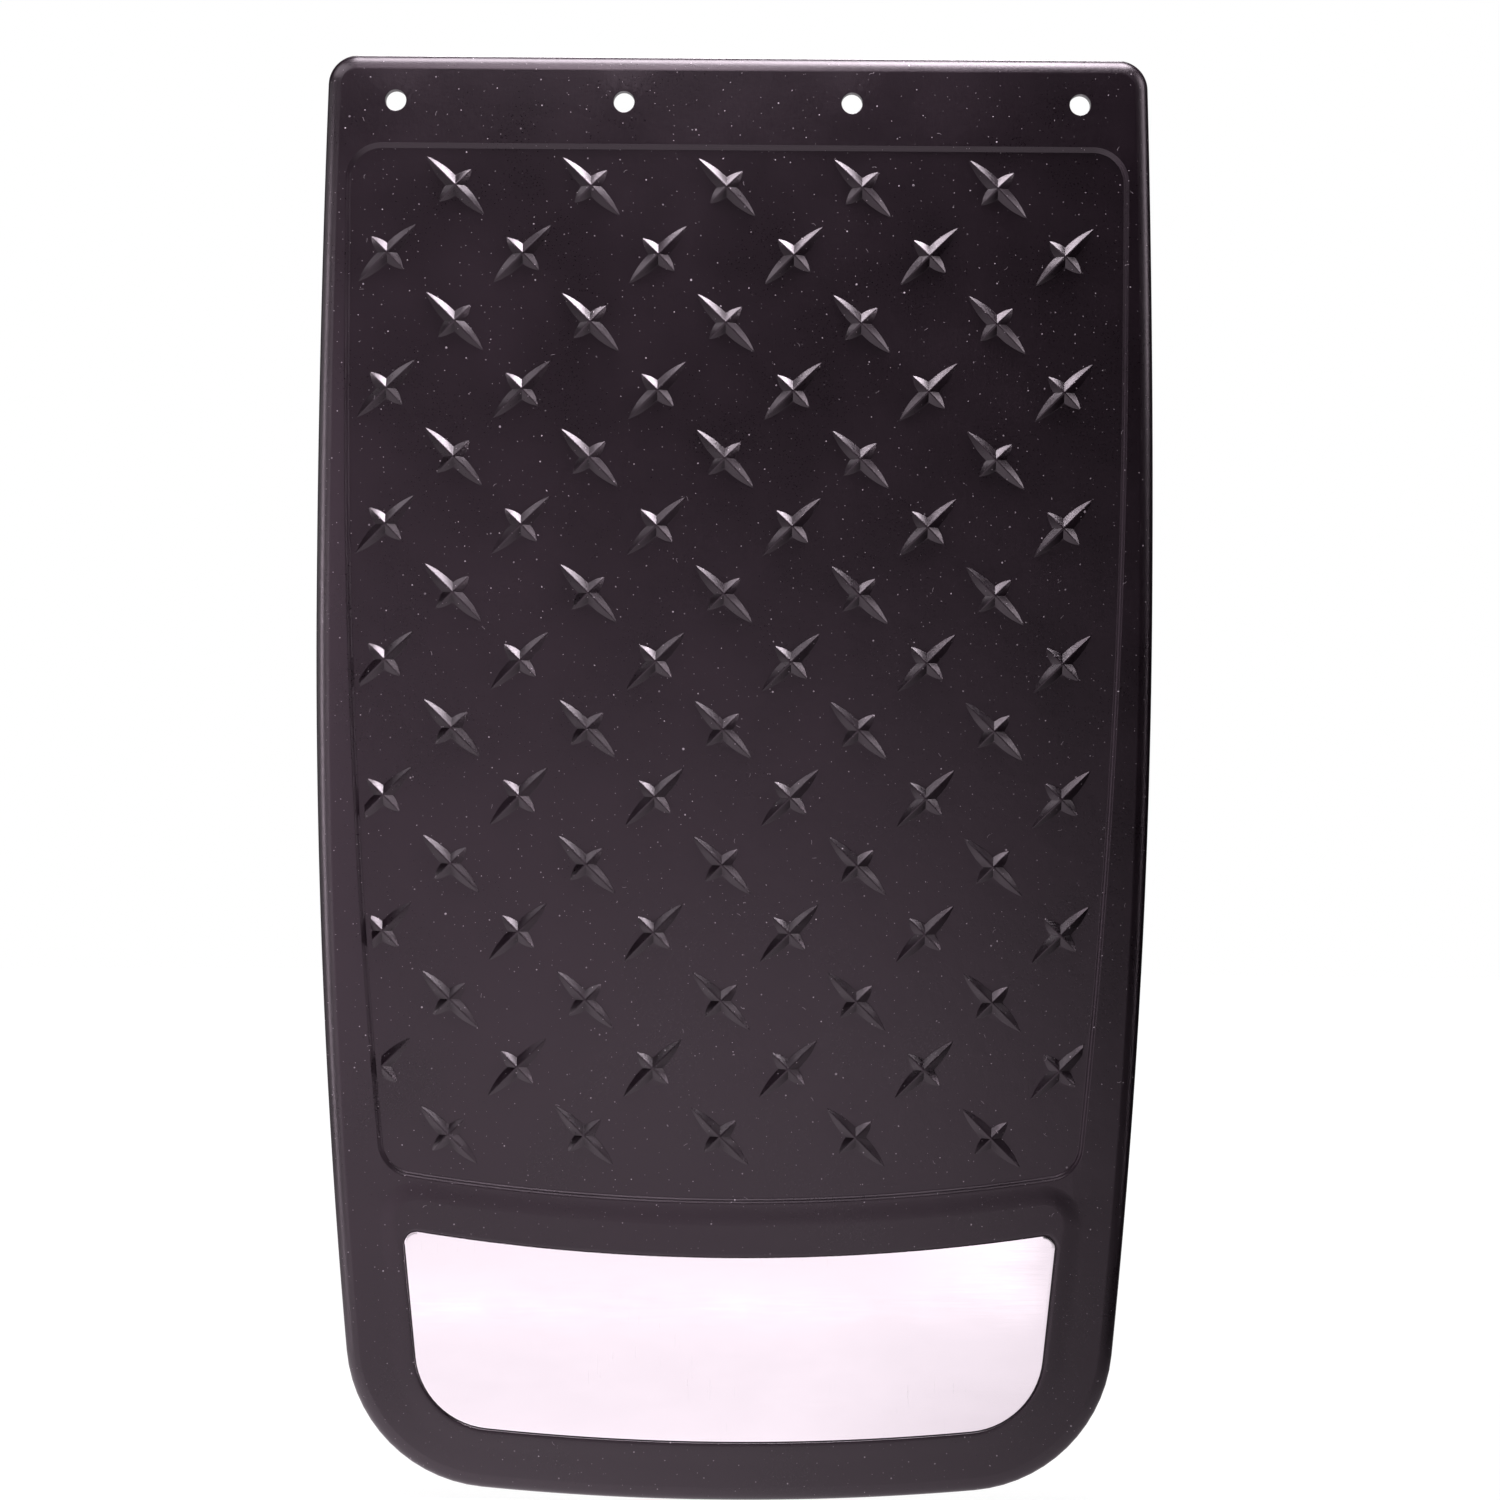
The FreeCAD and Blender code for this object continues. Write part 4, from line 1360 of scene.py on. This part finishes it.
def add_fixings(settings, build, materials, slot, node):
    """One like piece at each stud, standing for the node of the same number."""
    for number, middle in enumerate(fixing_middles(), start=1):
        piece = show(build(settings.fixings, middle, number), materials)
        seat_in_frame(piece, slot, "%s_%d" % (node, number))


class MUDFLAP_OT_moulding(bpy.types.Operator):
    """Build the moulded rubber flap"""

    bl_idname = "mudflap.moulding"
    bl_label = "Moulded flap"

    def execute(self, context):
        settings = context.scene.mud_flap
        piece = show(flap_mesh(settings), [rubber_material(settings.finishes)])
        seat_in_frame(piece, "flap_rubber", "flap_moulding")
        return {"FINISHED"}


class MUDFLAP_OT_trim_plate(bpy.types.Operator):
    """Build the polished trim plate"""

    bl_idname = "mudflap.trim_plate"
    bl_label = "Trim plate"

    def execute(self, context):
        settings = context.scene.mud_flap
        piece = show(plate_mesh(settings.plate), [plate_material(settings.finishes)])
        seat_in_frame(piece, "polished_stainless", "trim_plate")
        return {"FINISHED"}


class MUDFLAP_OT_studs(bpy.types.Operator):
    """Build the threaded weld studs"""

    bl_idname = "mudflap.studs"
    bl_label = "Weld studs"

    def execute(self, context):
        settings = context.scene.mud_flap
        steel = steel_material("stud_stainless", settings.finishes.stud, roughness=0.22)
        add_fixings(settings, stud_mesh, [steel], "stud_steel", "plate_stud")
        return {"FINISHED"}


class MUDFLAP_OT_washers(bpy.types.Operator):
    """Build the flat washers"""

    bl_idname = "mudflap.washers"
    bl_label = "Flat washers"

    def execute(self, context):
        settings = context.scene.mud_flap
        steel = steel_material("washer_zinc_plate", settings.finishes.washer, roughness=0.26)
        add_fixings(settings, washer_mesh, [steel], "washer_steel", "flat_washer")
        return {"FINISHED"}


class MUDFLAP_OT_lock_nuts(bpy.types.Operator):
    """Build the lock nuts with their nylon rings"""

    bl_idname = "mudflap.lock_nuts"
    bl_label = "Lock nuts"

    def execute(self, context):
        settings = context.scene.mud_flap
        steel = steel_material("nut_zinc_plate", settings.finishes.nut, roughness=0.24)
        nylon = nylon_material(settings.finishes)
        add_fixings(settings, nut_mesh, [steel, nylon], "nut_steel", "lock_nut")
        return {"FINISHED"}


class MUDFLAP_OT_stage(bpy.types.Operator):
    """Set up the floor, the lamps, the world light and the camera"""

    bl_idname = "mudflap.stage"
    bl_label = "Studio stage"

    def execute(self, context):
        settings = context.scene.mud_flap
        make_floor(settings.finishes)
        make_world(settings.studio)
        for lamp in LAMPS:
            add_lamp(*lamp)
        make_camera(settings.studio)
        context.scene.view_settings.view_transform = "Standard"
        return {"FINISHED"}


class MUDFLAP_PT_parts(bpy.types.Panel):
    """The mud flap's pieces and stage, each with its own button"""

    bl_idname = "MUDFLAP_PT_parts"
    bl_label = "Mud Flap"
    bl_space_type = "VIEW_3D"
    bl_region_type = "UI"
    bl_category = "Mud Flap"

    def draw(self, context):
        for operator in OPERATORS:
            self.layout.operator(operator.bl_idname)


GROUPS = (
    FlapSizes, FieldSizes, StarSizes, PlateSizes, FixingSizes, Finishes, Studio, MudFlapSettings,
)
OPERATORS = (
    MUDFLAP_OT_moulding,
    MUDFLAP_OT_trim_plate,
    MUDFLAP_OT_studs,
    MUDFLAP_OT_washers,
    MUDFLAP_OT_lock_nuts,
    MUDFLAP_OT_stage,
)
CLASSES = GROUPS + OPERATORS + (MUDFLAP_PT_parts,)


def register():
    for made in CLASSES:
        bpy.utils.register_class(made)
    bpy.types.Scene.mud_flap = PointerProperty(type=MudFlapSettings)


def unregister():
    del bpy.types.Scene.mud_flap
    for made in reversed(CLASSES):
        bpy.utils.unregister_class(made)


def main():
    register()
    bpy.ops.mudflap.moulding()
    bpy.ops.mudflap.trim_plate()
    bpy.ops.mudflap.studs()
    bpy.ops.mudflap.washers()
    bpy.ops.mudflap.lock_nuts()
    bpy.ops.mudflap.stage()


if __name__ == "__main__":
    main()
